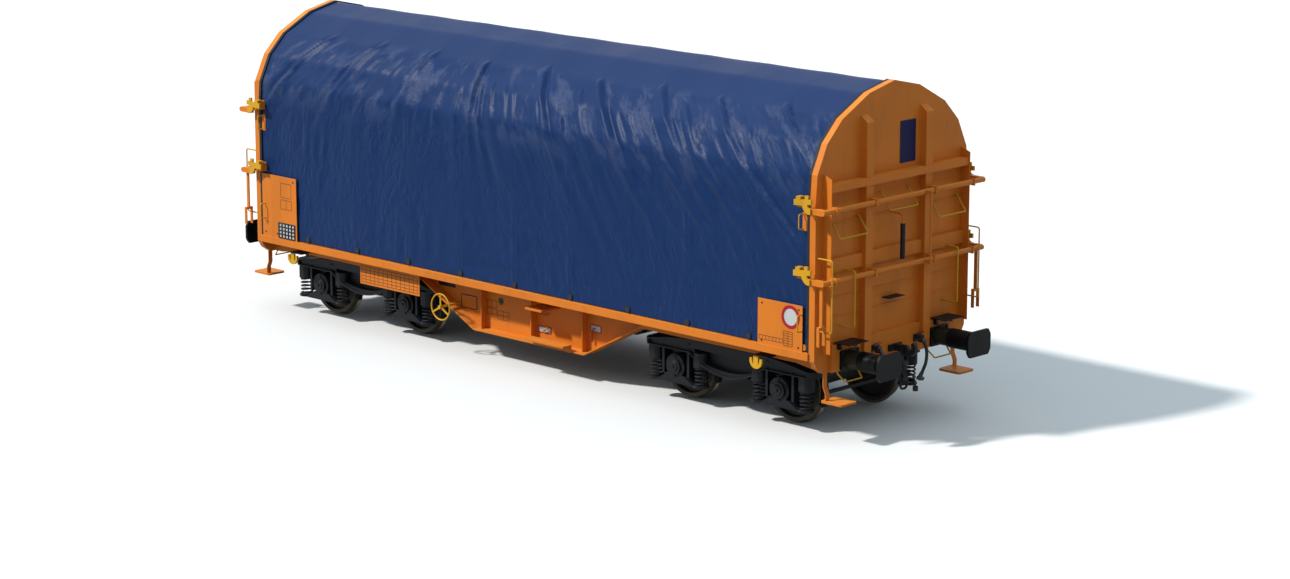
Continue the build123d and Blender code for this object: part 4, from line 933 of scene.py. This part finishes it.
def fold_lean(x, side):
    """How far along the wagon a fold runs for each metre that it falls.

    It is the steepest lean times the hyperbolic tangent of the distance past the turning place over its span.
    Looked at from its own side, a fold runs down to the right, and beyond the turning place to the left.
    Side 1 or -1 picks the side.
    """
    return steepest_lean * np.tanh((x * -side + fold_turn) / fold_turn_span) * -side


def fold_reach(x, down, side):
    """Fall over which a fold goes on slanting.

    It is 0.9 of the fall from 1 m below the crown, held by a hyperbolic tangent under the long reach, or
    under the short one beyond the turning place, where folds only cross the shoulder.
    """
    fall = np.clip(down - 1.0, 0, None)
    longest = np.where(x * -side < -fold_turn, short_reach, long_reach)
    return longest * np.tanh(0.9 * fall / longest)


def hood_relief(x, down, side):
    """How far the cloth stands out from the bows' outline, in metres.

    x runs along the wagon and down is the distance from the crown. The relief adds a sag between bows and
    folds that start as a narrow spike at the shoulder and run down at a slant, each with a wide face on one
    side and a steep one on the other. Between them are dented pillows, and below are fine slanting wrinkles.
    Side 1 or -1 picks the side, which mirrors the slant and changes the noise.
    """
    seed = 11 if side < 0 else 47
    gap = np.abs(x[..., None] - bow_places).min(-1)
    between = np.clip(gap / (bow_pitch / 2), 0, 1)
    slack = 1 - np.exp(-((np.clip(gap - bow_half_width, 0, None) / 0.10) ** 2))
    roof = 1 - smooth_step(down, *roof_fades)
    flat_side = smooth_step(down, *side_begins)
    shoulder = smooth_step(down, *shoulder_begins) * (1 - smooth_step(down, *shoulder_fades))
    relief = -(0.003 + 0.002 * roof + 0.004 * flat_side) * np.sin(between * math.pi / 2) ** 2
    chance = np.random.default_rng(seed)
    for bow_x in bow_places[:-1]:
        for share in fold_starts:
            at_bow = share == fold_starts[0]
            start_x = bow_x + bow_pitch * (share + (0.0 if at_bow else chance.uniform(-0.08, 0.08)))
            start = chance.uniform(0.84, 0.98) if at_bow else chance.uniform(1.05, 1.55)
            height = (spike_height * chance.uniform(0.9, 1.2) if at_bow
                      else fold_height * chance.uniform(0.4, 1.3))
            slant = float(fold_lean(start_x, side)) * chance.uniform(0.8, 1.2)
            length = chance.uniform(0.9, 1.4) if at_bow else chance.uniform(0.45, 1.2)
            length *= 0.75 + 0.8 * max(-slant * side, 0)
            fall = np.clip(down - start, 0, None)
            across = (x - start_x - 0.85 * slant * fall ** 1.1) * math.copysign(1, slant)
            width = 0.024 + 0.030 * fall
            ridge = np.exp(-((across / (np.where(across < 0, 2.2, 0.7) * width)) ** 2))
            trough = np.exp(-(((across - 1.9 * width) / width) ** 2))
            fading = smooth_step(fall, 0.0, 0.16) * np.exp(-((fall / length) ** 2))
            relief += height * fading * (ridge - 0.75 * trough)
    slanted = x - fold_lean(x, side) * fold_reach(x, down, side)
    patches = smooth_step(soft_noise(x / 0.8 + 9, down / 0.6, seed + 3), -0.15, 0.6)
    hem = smooth_step(down, *hem_begins)
    # Height, where it shows, its course along with a length and a start, its course down with a width, seed.
    for height, where, along, length, start, fallen, width, number in (
        (0.0085, shoulder, slanted, 0.24, 40, down, 0.44, 1),
        (0.0030, shoulder, slanted, 0.11, 90, down, 0.13, 2),
        (0.0080, flat_side * patches, slanted, 0.085, 60, down, 0.65, 4),
        (0.0060, hem, x, 1.5, 15, down + 0.12 * x * side, 0.13, 8),
        (0.0050, flat_side, slanted, 0.36, 20, down, 1.2, 5),
        (0.0016, 1 - roof, slanted, 0.045, 33, down, 0.30, 6),
        (0.0008, roof, x, 0.24, 70, down, 0.5, 7),
    ):
        relief += height * where * soft_noise(along / length + start, fallen / width, seed + number)
    return np.clip(relief, 0.0010 - 0.034 * slack, 0.014 + 0.024 * shoulder)


def grid_faces(rows, columns):
    """Four-cornered faces of a grid of points stored row by row."""
    corner = (np.arange(rows - 1)[:, None] * columns + np.arange(columns - 1)).ravel()
    return np.column_stack([corner, corner + 1, corner + columns + 1, corner + columns])


def uv_layer(thing, name, places):
    """UV map, in metres, from a (u, v) pair for every vertex."""
    layer = thing.data.uv_layers.new(name=name)
    picks = np.empty(len(thing.data.loops), int)
    thing.data.loops.foreach_get("vertex_index", picks)
    layer.data.foreach_set("uv", places.reshape(-1, 2)[picks].astype(np.float32).ravel())


section = hood_section(hood_inset, hood_low.z)
section_length = float(np.linalg.norm(np.diff(section, axis=0), axis=1).sum())
spots = np.linspace(0, section_length, cloth_rows)
section_points, section_normals = along_outline(section, spots)
cloth_x, cloth_down = np.meshgrid(np.linspace(hood_low.x, hood_high.x, cloth_columns),
                                  np.abs(spots - section_length / 2))
cloth_side = np.where(section_points[:, 0] < 0, -1, 1)
relief = np.empty((cloth_rows, cloth_columns))
for side in (-1, 1):
    picked = cloth_side == side
    relief[picked] = hood_relief(cloth_x[picked], cloth_down[picked], side)
hem_hold = smooth_step(np.minimum(spots, section_length - spots), 0.02, 0.20)[:, None]
edge_hold = smooth_step(np.abs(np.abs(cloth_x) - hood_high.x), 0.0, 0.10)
relief *= 0.15 + 0.85 * hem_hold * edge_hold
cloth_across = section_points[:, None] + section_normals[:, None] * relief[..., None]
cloth_points = np.concatenate([cloth_x[..., None], cloth_across], axis=-1)
tarpaulin = new_mesh("tarpaulin", cloth_points.reshape(-1, 3), grid_faces(cloth_rows, cloth_columns))
uv_layer(tarpaulin, "cloth", np.stack([cloth_x, np.broadcast_to(spots[:, None], cloth_x.shape)], axis=-1))
row_side = cloth_side[:, None]
fold_shift = fold_lean(cloth_x, row_side) * fold_reach(cloth_x, cloth_down, row_side)
uv_layer(tarpaulin, "folds", np.stack([cloth_x - fold_shift + 20 * row_side, cloth_down], axis=-1))


def crease_lines(vector, scale, stretch, sharpness):
    """Sharp crests along the middle level of a noise, from 0 between them to 1 on the crest."""
    level = noise(vector, scale, 2.0, 0.5, (1.0, stretch, 1.0))
    return (1.0 - (level - 0.5).worked("ABSOLUTE") * sharpness).clamped()


def thin_line(value, place, half_width):
    """1 on a line where a signal is at this place, and 0 beyond the half width of the line."""
    return rise((value - place).worked("ABSOLUTE"), half_width, 0.001)


def coated_cloth_group():
    """Coated hood cloth: a fine square weave under a smooth blue coat.

    Panels meet in welded seams a bow's pitch apart, which lie a little proud and darker. Sharp creases run
    along the folds, and patches between them in the shoulder band are crumpled and painted paler as a sheen.
    Dust and a painted top light make the upper side paler, and rain has drawn pale runs down the sides.
    """
    group, given, out = new_group("coated_cloth", ("Colour", "Dusting And Top Light Colour"), ("Dusting And Top Light",))
    place = shader_node(group, "UVMap", "UV", uv_map="cloth")
    folds = shader_node(group, "UVMap", "UV", uv_map="folds")
    down = coordinates(folds)["Y"]
    shoulder = rise(down, 0.90, 1.25) * rise(down, 2.9, 1.9)
    flat_side = rise(down, 1.7, 2.3)
    panels = (coordinates(place)["X"] - float(bow_places[1])) / bow_pitch
    from_seam = ((panels + 0.5).worked("FRACT") - 0.5).worked("ABSOLUTE")
    weld = rise(from_seam, 0.020, 0.016)
    stitch = thin_line(from_seam, 0.014, 0.003)
    hem_seam = thin_line(down, section_length / 2 - hem_seam_rise, 0.004)
    broad = noise(place, 0.9, 5.0)
    runs = noise(place, 5.0, stretch=(1.0, 0.12, 1.0))
    long_creases = crease_lines(folds, 3.2, 0.40, 9.0)
    short_creases = crease_lines(folds, 8.0, 0.42, 7.0)
    crumple = crease_lines(folds, 15.0, 0.85, 4.0)
    # Painted sheen: pale crumpled patches across the shoulder band, where the cloth would catch the light.
    sheen_patches = rise(noise(folds, 3.4, 3.0, stretch=(1.0, 0.5, 1.0)), 0.50, 0.62)
    sheen_patches = sheen_patches * (rise(down, 0.85, 1.15) * rise(down, 2.3, 1.7))
    warp, weft = (shader_node(group, "TexWave", "Fac", {"Vector": place, "Scale": 95.0}, bands_direction=axis)
                  for axis in "XY")
    # What faces up is dusted and painted paler as a top light, and rain runs add pale streaks.
    facing_up = rise(coordinates(shader_node(group, "NewGeometry", "Normal"))["Z"], -0.1, 0.9)
    dust_and_top_light_share = (facing_up * 0.7 + 0.15) * rise(broad, 0.25, 0.75) + rise(runs, 0.52, 0.72) * 0.12
    dust_and_top_light_share = (dust_and_top_light_share * given["Dusting And Top Light"]).clamped()
    dusted_and_top_lit = mix_colour(dust_and_top_light_share, given["Colour"], given["Dusting And Top Light Colour"])
    with_sheen = mix_colour(sheen_patches * (crumple * 0.18 + 0.09), dusted_and_top_lit, sheen_colour)
    feed(out["Color"], mix_colour((stitch * 0.25).worked("MAXIMUM", hem_seam * 0.3), with_sheen, seam_colour))
    feed(out["Roughness"], (rise(broad, 0.3, 0.7) * 0.10 + 0.34 + dust_and_top_light_share * 0.25).clamped())
    tall = long_creases * (shoulder + flat_side * 0.6)
    thin = short_creases * (shoulder * 0.5 + flat_side * 1.4) * rise(broad, 0.40, 0.55)
    feed(out["Height"], tall + thin + crumple * sheen_patches * 0.9 + weld * 0.25 + (warp + weft) * 0.012)
    return group


blue_cloth = dressed_material("blue_cloth", coated_cloth_group(), coated_blue, shine=0.075, bump=0.8,
                              distance=0.004)
tarpaulin.data.materials.append(blue_cloth)
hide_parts("cover_tarpaulin")
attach(tarpaulin, "wagon")
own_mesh(tarpaulin)
